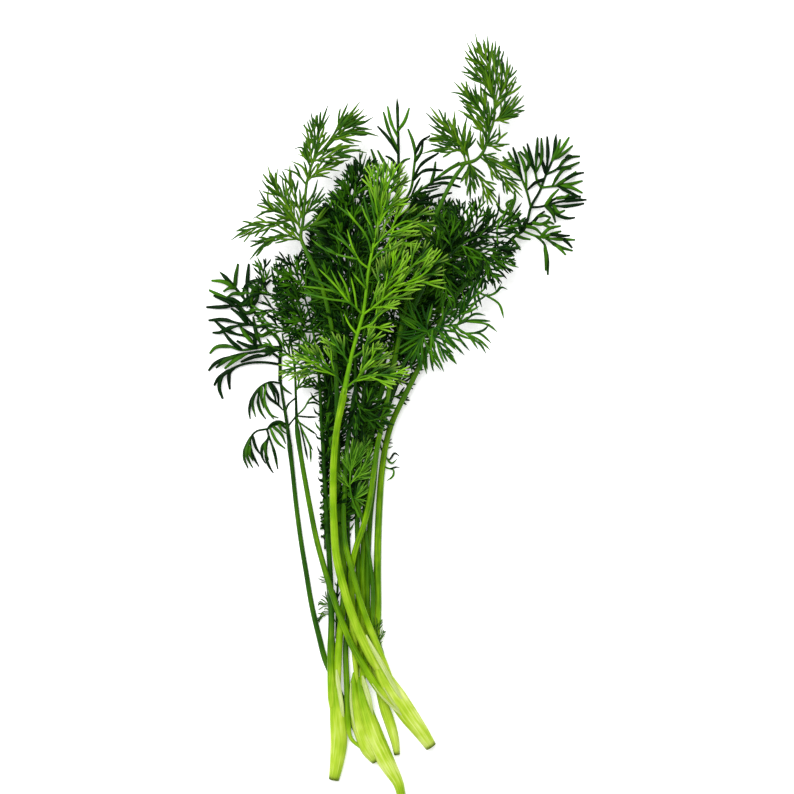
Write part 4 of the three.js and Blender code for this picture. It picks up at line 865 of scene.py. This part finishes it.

# --- Dark open fans ---
# The oldest blades are flat and open, with few, stiff, blunt lobes, and lie low on both sides and at the
# top. Nearly every lobe has its own route, and the ones low on the far left droop.
# This paint's near-black deep end is partly painted shade, standing for the deep shade inside the bunch; the
# open fans share it.
dark_paint = leaf_paint("leaf_dark", linear(0, 8, 0), linear(6, 37, 0), linear(58, 108, 8),
                        linear(16, 56, 2), 0.05)
FAN_LOOK = {
    "joint": 0.9, "rib": 0.66, "rib_tone": 0.4, "side": 0.6, "tip": 0.8, "swell": 13.0, "blunt": 0.5,
    "rise": 1.5, "arch": 2.0, "droop": 0.5,
    "thread": 0.58, "gap": 5.0, "first": 9.0, "bare": 0.2, "end": 6.5, "full": 0.4, "reach": 10.0,
    "spread": 24, "bend": 0.5, "bushy": 7, "clear": 0.85, "forks": [],
}
blade("blade_right_fan", [
    (44, 70, 4.8), (48, 74, 3.8), (50.6, 75.6, 3.2), (52.2, 79, 2.6), (53.8, 85.1, 2), (57.8, 92.5, 0.9),
    (59.9, 98.2, 0.5), (62.4, 104, 0.4), (64.2, 115, 0.4),
], [], dict(FAN_LOOK, side=0.56, tip=0.86), 7, dark_paint, ["frond_right_fan"], 1.0, [
    [(53.6, 84.8), (52.2, 91.4), (49.6, 97.6), (44.7, 107.6)],
    [(52.4, 92.3), (51.9, 95.7), (50.9, 102.5), (48.7, 107.4)],
    [(49.8, 97.2), (46.4, 100.4), (42.6, 105.5)], [(50.4, 96), (48.6, 102.4), (46.6, 109.2)],
    [(51.6, 99.4), (53, 103), (49.4, 107.6)],
    [(57.5, 94), (56.4, 95.7), (55.6, 99.1), (53.9, 102.9), (50.9, 109.8)],
    [(55.4, 99.4), (53.6, 105.4), (52.4, 110.8)], [(59.3, 97), (56, 95.2), (52.7, 92.4)],
    [(55.6, 99.1), (56, 104.7), (56.6, 113.4)], [(56, 98.7), (57.5, 102.5), (58.1, 113)],
    [(59.8, 98.4), (58.5, 103.4), (57.1, 107.2)], [(59.9, 98.6), (60.7, 106.8), (60.5, 113.8)],
    [(62.3, 103.8), (64.4, 108), (65.8, 112.8)], [(62.2, 103.4), (66, 108.4), (69.4, 113.6)],
    [(63, 104.4), (66.6, 106.6), (70.8, 110.2)],
    [(60.2, 98.8), (64.5, 100.8), (67.5, 104.2), (70.1, 105.5), (73.8, 105.9)],
    [(67.5, 104.4), (68.8, 105.9), (70.3, 106.1)], [(64.5, 100.6), (68.8, 101.5), (73.6, 103.5)],
    [(58.1, 92.8), (61.1, 93.6), (65, 94), (70.5, 94.8), (74.8, 96)],
    [(62.8, 94), (65, 98.2), (67.1, 100.4), (70.2, 100.9)], [(63.7, 94), (67.9, 96.5), (72.2, 99.7)],
    [(67.9, 96.5), (71.4, 98.3), (75.3, 99.2)], [(65, 93.9), (70.5, 93.1), (74.8, 91.1)],
    [(64.5, 93.8), (68.8, 91.6), (74, 89.2)],
    [(53.9, 85.6), (57.7, 85.4), (61.1, 86.3), (67.1, 87.6), (71.4, 88), (76.3, 88.2)],
    [(59.4, 85.9), (62, 89.3), (65, 92.4)], [(59.8, 86), (64.5, 88.9), (68.8, 89.1), (74, 89.6)],
    [(60.4, 86), (66.2, 85.4), (71.4, 85.9), (75.2, 86.6)], [(62.8, 85.8), (65, 82.9), (67.4, 83.8)],
    [(60.4, 85.8), (65.4, 81.6), (68.8, 80.7), (71.6, 81)], [(59.8, 85.6), (62.8, 82), (63.8, 79.1)],
    [(64.5, 88.5), (67, 89), (69.4, 90.4)], [(51.9, 78), (54.3, 78.8), (56.8, 81.6), (59.4, 83.6)],
    [(56.8, 81.6), (59.4, 81.7), (61.8, 81)], [(54.3, 78.8), (58.5, 78.4), (60.7, 79.9), (61.6, 81)],
    [(58.5, 78.4), (61.1, 79), (63.1, 78.3)], [(58.6, 78.4), (61.5, 76.9), (63, 76.6)],
    [(50.4, 75.6), (56, 73.5), (61.1, 72.6), (67.1, 72.2), (71.6, 72)],
    [(51.8, 77.6), (55.6, 76.5), (58.1, 74.4)], [(57.7, 73.3), (61.1, 76.5), (65.8, 77.6)],
    [(58.5, 73.2), (63.7, 74.8), (66, 75.5)], [(61.6, 74.4), (67.1, 73.5), (69.4, 73.7)],
    [(66.7, 72.2), (68.8, 70.5), (70.4, 68.8)], [(59.8, 72.8), (65, 69.2), (70.6, 67.6)],
    [(64.1, 69.8), (65.8, 67.9), (67.7, 65.9)], [(56, 73.4), (59, 70.5), (60.3, 64.9), (60.7, 57.9)],
    [(59.4, 69.6), (59.8, 64.1), (59.7, 59.6)], [(47.6, 73.6), (50.9, 72.6), (53.6, 72.2)],
    [(50.2, 75.4), (51.7, 79.9), (52.5, 80.6)],
    [(48.6, 74.4), (45.7, 78.6), (45.3, 82), (47.4, 89.7), (47.2, 91.6)],
    [(45.3, 82), (41.9, 83.3), (40, 86.4)], [(45.6, 84), (44, 86.3), (46.4, 88.2)],
    [(49.6, 75), (48.3, 80.7), (45.7, 83)], [(46, 72), (48, 70.2), (49.6, 68)],
])
blade("blade_far_left", [
    (-47.2, 17.6, 0.8), (-47.2, 24, 0.6), (-47.1, 30.1, 0.5), (-52.7, 36.7, 0.5), (-58.1, 43.9, 0.5),
    (-65.8, 53.4, 0.5), (-71.6, 59.4, 0.5),
], [], dict(FAN_LOOK, rib=0.72, tip=0.98), 8, dark_paint, ["frond_far_left"], 1.0, [
    [(-52.7, 36.7), (-56.6, 37.5), (-63.6, 38.4), (-70, 39.9), (-76, 39.7)],
    [(-59.8, 37.9), (-63.9, 42.4), (-66.8, 44.4)], [(-60, 46.2), (-66.2, 45.4), (-70.9, 45), (-76.9, 45)],
    [(-57.4, 38), (-62.1, 42.4), (-65.1, 45.3), (-68, 47.1), (-74, 49.6)],
    [(-60.4, 46.8), (-64, 46.6), (-70.9, 49.4), (-75.8, 51.9)], [(-65, 52.6), (-65.1, 57), (-64.1, 62.5)],
    [(-64.4, 51.8), (-70, 55.2), (-74.8, 55.7)], [(-60.6, 46.8), (-60.4, 55), (-59.8, 62.5)],
    [(-47.4, 28.9), (-53.3, 29.2), (-57.4, 30), (-60.4, 33), (-65.1, 34.2), (-69.2, 35.9), (-73.5, 39.5)],
    [(-54.5, 29.6), (-56.8, 34.7), (-58, 41)], [(-56.8, 30), (-57.6, 33), (-60.4, 34.9), (-62.9, 36.7)],
    [(-60, 37.8), (-63.9, 37.4), (-68, 36.3), (-71.5, 34.7), (-74.4, 34.7)],
    [(-58, 30.4), (-61.6, 34.6), (-63.6, 38)],
    [(-53.3, 29.4), (-57.4, 28.3), (-62.7, 27.7), (-68, 29.2), (-73.3, 28.6), (-75.5, 26.3)],
    [(-62.7, 27.9), (-66.2, 30.6), (-69.8, 34.8)],
    [(-47.4, 24.2), (-50.4, 26.5), (-53.3, 27.1), (-59.2, 26.5), (-63.3, 25.9), (-69.2, 24.2),
     (-73.9, 21.8), (-76, 19.3)], [(-62.1, 26.2), (-68, 24), (-72.9, 20.5)],
    [(-60.4, 26.3), (-65.1, 23.6), (-69.4, 20.2)],
    [(-47.3, 22.1), (-53.3, 22.7), (-59.8, 22.4), (-65.1, 20.7), (-67.4, 18.9), (-67.7, 16),
     (-67.4, 11.9)], [(-65.1, 20.7), (-69.2, 18.3), (-72.1, 16), (-73.7, 13.4)],
    [(-67.2, 19.4), (-70.9, 16), (-71.5, 12.4), (-70.2, 8.1)],
    [(-50, 26.4), (-53.3, 25.4), (-56.3, 25.2), (-62.9, 22.9)],
    [(-56.4, 28.6), (-60.4, 29.4), (-64.6, 31.4)], [(-58.6, 44.4), (-58.6, 50), (-55.6, 55)],
    [(-59.6, 45.6), (-57.2, 50), (-51, 56)], [(-62.6, 49.4), (-61, 53.5), (-58.4, 55.3), (-53.3, 56.2)],
    [(-65.2, 52.8), (-67.4, 52.6), (-69.9, 51.4)], [(-63.4, 50.6), (-66, 50.4), (-68.4, 49)],
    [(-59, 45), (-56.6, 48), (-56, 53.4)], [(-57.6, 43.2), (-61, 42.6), (-64.4, 47)],
    [(-63, 45.9), (-66.6, 48.2), (-70.4, 48)], [(-51, 34.8), (-54.6, 33.4), (-57.4, 35.6)],
])
DROOP_LOOK = dict(FAN_LOOK, joint=0.95, rib=0.85, side=0.5, tip=0.74, blunt=0.35, rise=0.5)
blade("blade_far_left_low", [
    (-43.6, -8, 1.9), (-44.4, -2, 1.6), (-45.5, 5, 1.4), (-46.6, 12, 1.1), (-47.2, 17.6, 0.9),
    (-47.4, 26, 0.6),
], [], DROOP_LOOK, 18, dark_paint, [], 1.0, [
    [(-46.9, 14.5), (-51, 14.8), (-53.9, 13.6), (-57.4, 10.1), (-58.9, 6.6), (-59.5, 2.5), (-59.2, -0.1)],
    [(-55.1, 12.6), (-58, 7.2), (-57, 0.8)], [(-54.8, 12.9), (-55.7, 6), (-54.5, 2.5), (-52.8, -0.1)],
    [(-54.2, 13.3), (-54.5, 8.3), (-53.6, 4.3)], [(-53, 13.9), (-53, 6), (-51, 1.9), (-49.6, -0.1)],
    [(-52.4, 4.6), (-50.4, 1.5), (-47.7, 0.4)], [(-53.9, 13.4), (-51.6, 8.9), (-47.5, 5.4), (-45.9, 3.5)],
    [(-50.4, 14.6), (-48, 10.1), (-47.6, 5.2)], [(-52, 14.5), (-49.6, 10.6), (-48.6, 6.4)],
    [(-46.9, 13.8), (-45.1, 11.9), (-42.4, 10)],
    [(-43.9, -4), (-47.5, -2.2), (-51.9, -4), (-56.8, -5.2), (-58.9, -7.5), (-61.2, -12.2),
     (-61.5, -15.7), (-60, -20)], [(-59, -7.7), (-60.4, -14), (-59.2, -17.5), (-58, -19.7)],
    [(-58.8, -7.3), (-58.6, -12.8), (-56.8, -16.9), (-55.5, -19.2)],
    [(-58.4, -6.8), (-56.3, -12.2), (-54.4, -14.8)], [(-58.7, -11), (-59.2, -14), (-57.8, -17)],
    [(-51.9, -4), (-51.6, -6.9), (-54.2, -11.6), (-54.2, -15.1), (-52.9, -18)],
    [(-51.8, -7.2), (-52.4, -11), (-52.4, -16.3), (-51, -19.8), (-49.7, -21.8)],
    [(-51.6, -6.9), (-49.2, -13.4), (-47.9, -20.3)], [(-51, -3.6), (-48, -9.3), (-45, -12)],
    [(-49.8, -2.9), (-46.3, -6.3), (-44.8, -10)],
    [(-44.2, -3), (-47.6, -1.2), (-51, -2.6), (-52.6, -4.6)], [(-47.4, -2.4), (-46.2, -4.6), (-44.4, -6)],
    [(-52.6, -9.4), (-52.9, -13), (-51.6, -16.4)],
])
blade("blade_centre_top", [
    (-2.2, 69, 7), (0, 84, 8), (0.5, 98, 8.4), (0.5, 108.5, 8.2), (0.3, 117.7, 7.6), (0, 128.8, 7),
], [
    [(-0.2, 82), (6.1, 89.4), (13, 94), (18.6, 98.4), (25, 102.8)], [(-1, 76), (-6, 84), (-11, 92)],
    [(-0.4, 80), (7.9, 86.6), (15.4, 89.2), (22, 90.6)], [(-0.4, 80.6), (-5, 88), (-8.4, 98)],
], dict(FAN_LOOK, joint=0.95, rib=0.9, first=14.0), 9, dark_paint, ["frond_centre_top"], 0.95, [
    [(0.4, 112.4), (-2.2, 118), (-3.8, 125.4)], [(0.5, 107.4), (-3, 114.6), (-5.5, 123)],
    [(0.5, 106.4), (-3.6, 112.4), (-7.8, 117.3)], [(0.4, 115), (2.8, 118.8), (4.9, 124.6)],
    [(0, 84), (5.4, 91.6), (6.7, 100), (7.2, 106), (6.4, 110.6), (4.4, 116)],
    [(7.2, 105.6), (10, 111), (13.2, 113.3)], [(7, 103.4), (9.6, 107), (10.4, 111)],
    [(6.3, 96), (9.4, 101.4), (16.6, 106.4)], [(6.2, 94.6), (10.4, 99), (18.4, 99.6)],
    [(13.2, 94.2), (14.8, 98.6), (15.4, 103)], [(16.6, 97), (22, 100.6), (27.6, 103)],
    [(12.6, 94), (19, 94.4), (25.4, 92.8)], [(14, 95), (20.6, 96.6), (26.6, 96)],
    [(0.5, 101), (3.2, 103.6), (5.2, 104.4)], [(0.4, 96), (-4.6, 101.6), (-7.8, 107.6)],
    [(0.5, 99), (-3, 104.6), (-4.6, 105.4)], [(0.2, 90), (-5.2, 95.6), (-10.4, 108)],
    [(7.4, 86.4), (13, 86.4), (18, 84)],
])

# --- Dark inner blades ---
# The heart of the bunch is filled by older blades, thick with dark threads that stand out every way; their
# dark paint is partly painted shade for the depth of the heart.
# Hidden ones have their side ribs in plain pairs, and those that show more have routes of their own.
INNER_LOOK = {
    "joint": 0.8, "rib": 0.6, "rib_tone": 0.5, "side": 0.4, "tip": 0.5, "swell": 7.0, "blunt": 0.15,
    "rise": 4.0, "arch": 1.5, "droop": 1.0,
    "thread": 0.48, "gap": 3.2, "first": 7.0, "bare": 0.1, "end": 7.0, "full": 0.6, "reach": 11.0,
    "spread": 36, "bend": 0.4, "bushy": 22, "clear": 0,
    "forks": [(0.25, 1, 0.68, 4.5), (0.5, -1, 0.5, 6.0)], "tips": 2.0,
}
PAIR_PLACES = 60
TWIG_LEAST = 11


# Side ribs in pairs along a rib, bent toward its tip. Each hand has its own lengths, and a long side
# rib carries two twigs of its own.
def pairs(rib, start, stop, count, right, left, spread, seed):
    draw = np.random.default_rng(seed)
    line = smooth(rib, PAIR_PLACES)
    heading = frames(line)[0][:, :2]
    routes = []
    for number in range(count):
        share = number / (count - 1)
        at = int(round((start + (stop - start) * share) * (PAIR_PLACES - 1)))
        ahead = heading[at] / np.linalg.norm(heading[at])
        side = np.array([-ahead[1], ahead[0]])
        foot = line[at, :2]
        for hand, reaches in ((-1, right), (1, left)):
            reach = np.interp(share, np.linspace(0, 1, len(reaches)), reaches)
            long = reach * draw.uniform(0.85, 1.1)
            turn = hand * np.radians(spread + draw.uniform(-8, 8))
            early, late, bent = [ahead * np.cos(turn * k) + side * np.sin(turn * k) for k in (1, 0.5, 1.7)]
            middle = foot + early * long * 0.5
            routes.append([foot, middle, foot + (early + late) * long * 0.5])
            if long > TWIG_LEAST:
                inner = (foot + middle) / 2
                outward, inward = (late + bent) * long, (ahead + late) * long
                routes.append([middle, middle + outward * 0.14, middle + outward * 0.3])
                routes.append([inner, inner + inward * 0.12, inner + inward * 0.26])
    return routes


# An inner blade with its side ribs in pairs, and any more routes that it needs.
def inner_blade(name, rib, start, stop, count, right, left, spread, pair_seed, look, seed, replaced,
                more=(), bare_sides=()):
    sides = [*pairs(rib, start, stop, count, right, left, spread, pair_seed), *more]
    blade(name, rib, sides, look, seed, dark_paint, replaced, 0.8, bare_sides)


blade("blade_left_mid", [
    (-40.3, -2, 7.2), (-40.6, 10, 8), (-41, 20, 8.4), (-42.6, 31, 8.8), (-45, 41, 9), (-50, 49, 8.8),
    (-60, 56, 8),
], [
    [(-40.8, 11), (-37.4, 15), (-32, 17)], [(-41.2, 22), (-36.5, 26), (-29, 32)],
    [(-41.5, 24), (-47, 28), (-55, 27.5)], [(-42.8, 32), (-38, 37), (-31, 43)],
    [(-43.2, 34), (-50, 38), (-57, 37)], [(-45.2, 41.5), (-42, 48), (-37, 55)],
    [(-45.8, 42.5), (-52, 43.5), (-58, 41)], [(-49, 47.5), (-47.5, 55), (-48.5, 64)],
    [(-50.5, 49.3), (-57, 50), (-63, 46)], [(-54, 52), (-53.5, 58), (-56, 65)],
], dict(INNER_LOOK, clear=0.4), 10, dark_paint, ["frond_left_mid"], 0.8, [
    [(-40.5, 1), (-37.4, 4.1), (-34.6, 8.3), (-31.4, 9.8)], [(-40.4, 1.6), (-35.1, 0.8), (-31.3, 0.8)],
    [(-36, 6.4), (-33, 6.6), (-30.4, 5)], [(-40.3, 0.6), (-36.6, -7.1), (-33.6, -12.8)],
    [(-39.4, -1), (-35.4, -4), (-32, -6.4)], [(-40.4, 1), (-44, -4.5), (-42, -11)],
    [(-38.6, -2.6), (-37, -10), (-35.7, -16.4)], [(-38, -4), (-34.8, -11), (-34.4, -17.6)],
    [(-40.6, 8), (-43.6, 5.6), (-44.8, 2)],
])
inner_blade("blade_left_inner", [
    (-28, -45, 3.8), (-28.8, -30, 4.2), (-29.6, -14, 5), (-30.4, 0, 6.6), (-31, 13, 8.6),
    (-32.2, 26, 10.6), (-34.6, 40, 12), (-38, 52, 12.6), (-43, 66, 12),
], 0.02, 0.95, 20, [13, 13, 13, 20, 20, 8], [4, 4, 5, 10, 18, 8], 52, 5,
            dict(INNER_LOOK, joint=1.3, rib=1.15), 11, ["frond_left_inner"])
inner_blade("blade_left_centre", [
    (-16.6, 12, 13.4), (-16.8, 28, 15.4), (-18, 48, 16.6), (-19.4, 68, 16.6), (-17.6, 86, 15),
    (-12.2, 106, 12),
], 0.06, 0.92, 15, [14, 21, 18, 9], [12, 21, 17, 4], 50, 11, INNER_LOOK, 12, ["frond_left_centre"], [
    [(-18.6, 78), (-22, 86), (-27.6, 91.6)], [(-17.8, 85), (-20, 92), (-25, 97)],
    [(-17.4, 87), (-16.6, 95), (-18.6, 102.6)], [(-19.2, 72), (-26, 80), (-32, 85)],
    [(-16.6, 12.6), (-15.4, 5.4), (-11, 3.4), (-5, 5.2), (-0.4, 4.4)],
    [(-15.4, 5.6), (-13, -0.4), (-6, 0), (-1, -2.4)], [(-13, 4), (-10.6, 8), (-8.6, 12)],
    [(-15.6, 6.4), (-17.4, 0), (-17, -7)],
])
blade("blade_right_centre", [
    (12, 56, 16.2), (18.4, 62, 17.6), (25.5, 69.1, 18), (30.4, 72, 17.8), (35, 73, 17.4), (38.6, 72, 17),
], [
    [(18.4, 62), (18.6, 56), (19.4, 49), (17.4, 44)], [(18.8, 62.2), (24, 60), (28, 57), (31, 52)],
    [(25.5, 69.1), (32.4, 66.1), (36, 61.6), (38.4, 56.6)], [(26, 69), (29, 62), (31.6, 56)],
    [(32, 66.4), (38, 65), (43.6, 62), (48.5, 60.4)], [(15, 60), (9.5, 64.5), (4, 67)],
    [(17, 61), (14.5, 71), (10, 79)], [(21, 66.6), (20, 75), (15.5, 85)],
    [(25.2, 69.8), (25.6, 78), (22, 87.5)], [(29, 71.5), (31.6, 79), (31, 88.5)],
    [(33, 72.6), (36.4, 78), (36, 84)], [(34, 73), (39, 75.6), (45, 78), (50, 82)],
    [(38, 72), (42, 67), (49.4, 68.4)], [(36, 61.6), (38, 56), (39.4, 50.6)],
    [(33.6, 64.6), (34, 57), (33.4, 50.6)],
], dict(INNER_LOOK, clear=0.2), 13, dark_paint, ["frond_right_centre"], 0.8, [
    [(38.6, 65), (43, 64.4), (46.8, 65)], [(38.4, 68), (40, 77), (43, 82.4), (46.2, 87.5)],
    [(40, 76), (45, 80), (49.6, 86)], [(36, 74), (40, 82), (40.6, 90)],
    [(37, 60), (40.2, 59), (43.8, 55.6)], [(34.4, 63.6), (38.6, 60.6), (43, 59.6)],
    [(19.4, 52), (22.4, 48), (23, 43.4)], [(37.6, 73), (41, 72.4), (46, 74)],
])

# The lower right blade is younger than the ones round it: a fresher green, with its threads laid flatter.
fresh_paint = leaf_paint("leaf_fresh", linear(4, 34, 0), linear(20, 66, 0), linear(62, 112, 3),
                         linear(44, 88, 8), 0.08)
FRESH_LOOK = dict(INNER_LOOK, side=0.5, tip=0.58, swell=9.0, thread=0.52, first=8.5, end=8.0, spread=28,
                  bushy=12, clear=0.4, forks=[])
blade("blade_right_lower", [
    (9, 31.5, 10.2), (12.5, 35, 13.6), (17, 36.8, 14.4), (23, 37.5, 13.4), (29, 39.4, 11.6),
    (37.6, 39.2, 9),
], [
    [(12, 34.8), (6, 36.5), (0, 42)], [(12, 34.8), (7, 40), (3, 48)], [(11.6, 34.4), (5, 32), (-1, 34)],
    [(11.2, 34), (4.6, 27), (-1, 26)], [(9.6, 32), (8.4, 25.5), (9.6, 19)],
    [(10.6, 33), (13, 26.5), (17.6, 19.4)], [(12.6, 35), (17.6, 28.5), (23.4, 22)],
    [(15, 36.4), (20, 33), (25.5, 26.4)], [(12, 34.6), (12, 41), (13, 46)],
    [(17.4, 37), (20.4, 43.5), (23.4, 47.6)], [(24, 38), (27, 43), (26, 51)],
    [(20.4, 37.4), (28.2, 46), (31.2, 52), (28.4, 57)],
], FRESH_LOOK, 14, fresh_paint, ["frond_right_lower"], 0.9, [
    [(22, 37.4), (29, 32.7), (32.4, 27.7)], [(22.4, 37.2), (25.5, 31.4), (29, 27.2)],
    [(10, 32.4), (10.4, 25), (11.9, 17.9)], [(12.6, 34.8), (15.6, 26), (18.8, 18.8)],
    [(16, 36.4), (20, 28), (23.9, 21.7)], [(9.2, 31.8), (5.6, 26), (6.1, 18.2)],
    [(9.6, 32), (7, 27), (2.6, 22)], [(18, 37), (22, 31), (27, 25.4)],
    [(14, 35.6), (13.6, 28), (14.6, 21)], [(20, 37.2), (25, 33.6), (30, 31.6)],
    [(23.4, 37.4), (25.5, 34.9), (33.3, 34), (37.8, 30.3)], [(27, 34.6), (33, 31.4), (37.2, 27.6)],
    [(28, 39), (36.8, 37.5), (40.4, 34.7)], [(26, 38.4), (31.4, 42), (35.4, 41.4)],
    [(31, 33.6), (34.6, 35.6), (37, 38)], [(29, 32.8), (33.6, 29.4), (35.6, 26)],
    [(29.6, 52.6), (31.6, 51.6), (35.9, 49.2), (39.4, 50.5), (41.6, 54.2)],
    [(39.8, 50.8), (41.6, 52.4), (44, 51.6)], [(35.6, 49.4), (40.7, 45.7), (42.7, 39.9)],
    [(31.6, 51.6), (32.6, 48), (33.8, 44.6)], [(29.8, 52), (31, 48), (32, 43.3)],
    [(27, 45), (29.6, 43), (29.4, 40.6)],
])
inner_blade("blade_low_centre", [
    (-6.4, 19, 2.4), (-0.6, 36, 1), (5.4, 51, 0.5), (10.6, 66, 0.4), (15, 86, 0.4),
], 0.04, 0.94, 13, [14, 20, 22, 12], [14, 20, 22, 12], 50, 17, INNER_LOOK, 15, ["frond_low_centre"])

# --- Lowest blades ---
# These blades are a bed of painted shade: dark leaves put in low, seen only as dark threads between the
# rest, that stand for the deep shade inside the bunch as well as for hidden foliage. They are flat: two
# lie on the floor under the leaves, one under the stalks and one along the left edge. A fifth, just as
# dark, stands a little higher behind the small pale blade.
UNDER_LOOK = dict(INNER_LOOK, joint=0.6, rib=0.5, rise=1.5, arch=0.8, thread=0.5, gap=2.8, bushy=9)
inner_blade("blade_under_left", [
    (-25, -36, 1.2), (-27, -10, 1), (-27, 16, 1), (-24, 42, 1), (-19, 66, 1.2), (-14, 88, 1.4),
], 0.02, 0.94, 17, [4, 9, 16, 17, 10], [4, 6, 8, 20, 12], 50, 19, UNDER_LOOK, 16, [], [
    [(-22, 54), (-28, 64), (-34, 80)], [(-20, 62), (-27, 72), (-31, 84)],
    [(-26, 60), (-32, 66), (-38, 70)], [(-24, 40), (-19, 50), (-17.6, 62)],
    [(-21, 54), (-17, 64), (-16, 76)],
])
inner_blade("blade_under_right", [
    (-8, -8, 1), (2, 18, 1), (12, 40, 1), (21, 60, 1.2), (30, 78, 1.4),
], 0.04, 0.94, 14, [4, 9, 9, 18, 10], [5, 12, 18, 18, 10], 50, 23, UNDER_LOOK, 17, [], [], [
    [(-7.6, -7), (-5.4, -14), (-3.2, -16.4), (-0.9, -13.8), (1.2, -15.2)],
    [(-4.6, -15.4), (-2.1, -17.8), (0, -16.2)],
    [(-5.4, -14), (-4.6, -19.4), (-1.3, -20.8), (-1.6, -23), (-4.2, -25)],
    [(-2.4, -20.6), (0, -19.4), (1.4, -19.8)], [(-7.6, -7), (-4.4, -9.6), (-2, -8)],
    [(-6, -8.6), (-3.6, -11.6), (-1.6, -11)], [(-4.6, -9.4), (-3, -9.6), (-1.4, -9.8)],
])
inner_blade("blade_under_stalks", [
    (-24.4, -86, 0.9), (-24, -68, 0.9), (-21, -48, 0.9), (-17, -24, 0.9), (-15, -4, 0.9), (-13, 22, 0.9),
], 0.03, 0.95, 28, [2, 3, 9, 12, 12], [2, 3, 8, 7, 7], 40, 29,
            dict(UNDER_LOOK, thread=0.66, gap=2.2, end=4.0, reach=6.0), 19, [])
inner_blade("blade_low_dark", [
    (-15.6, -39, 5.4), (-16.6, -30, 6.6), (-16.4, -20, 7.4), (-15, -8, 8), (-13, 2, 8.4),
], 0.05, 0.95, 14, [6, 7, 8, 7], [5, 6, 6, 5], 40, 37,
            dict(UNDER_LOOK, swell=4.0, rise=1.0, thread=0.4, gap=2.2, first=3.5, end=3.5, reach=5.0), 21, [])
EDGE_LOOK = dict(UNDER_LOOK, joint=1.0, rib=1.0, swell=3.0, thread=0.4, gap=1.3, first=1.8, end=2.2,
                 reach=3.0, forks=[(0.3, 1, 0.7, 1.8)])
inner_blade("blade_under_edge", [
    (-28.6, -50, 1), (-28.6, -34, 1), (-28.4, -16, 1), (-28.2, 2, 1), (-28, 20, 1),
], 0.02, 0.96, 24, [3, 4, 5, 5, 4], [2.2, 3, 2.2, 4.2, 2.4, 4.4, 2.6, 4], 42, 31, EDGE_LOOK, 20, [])
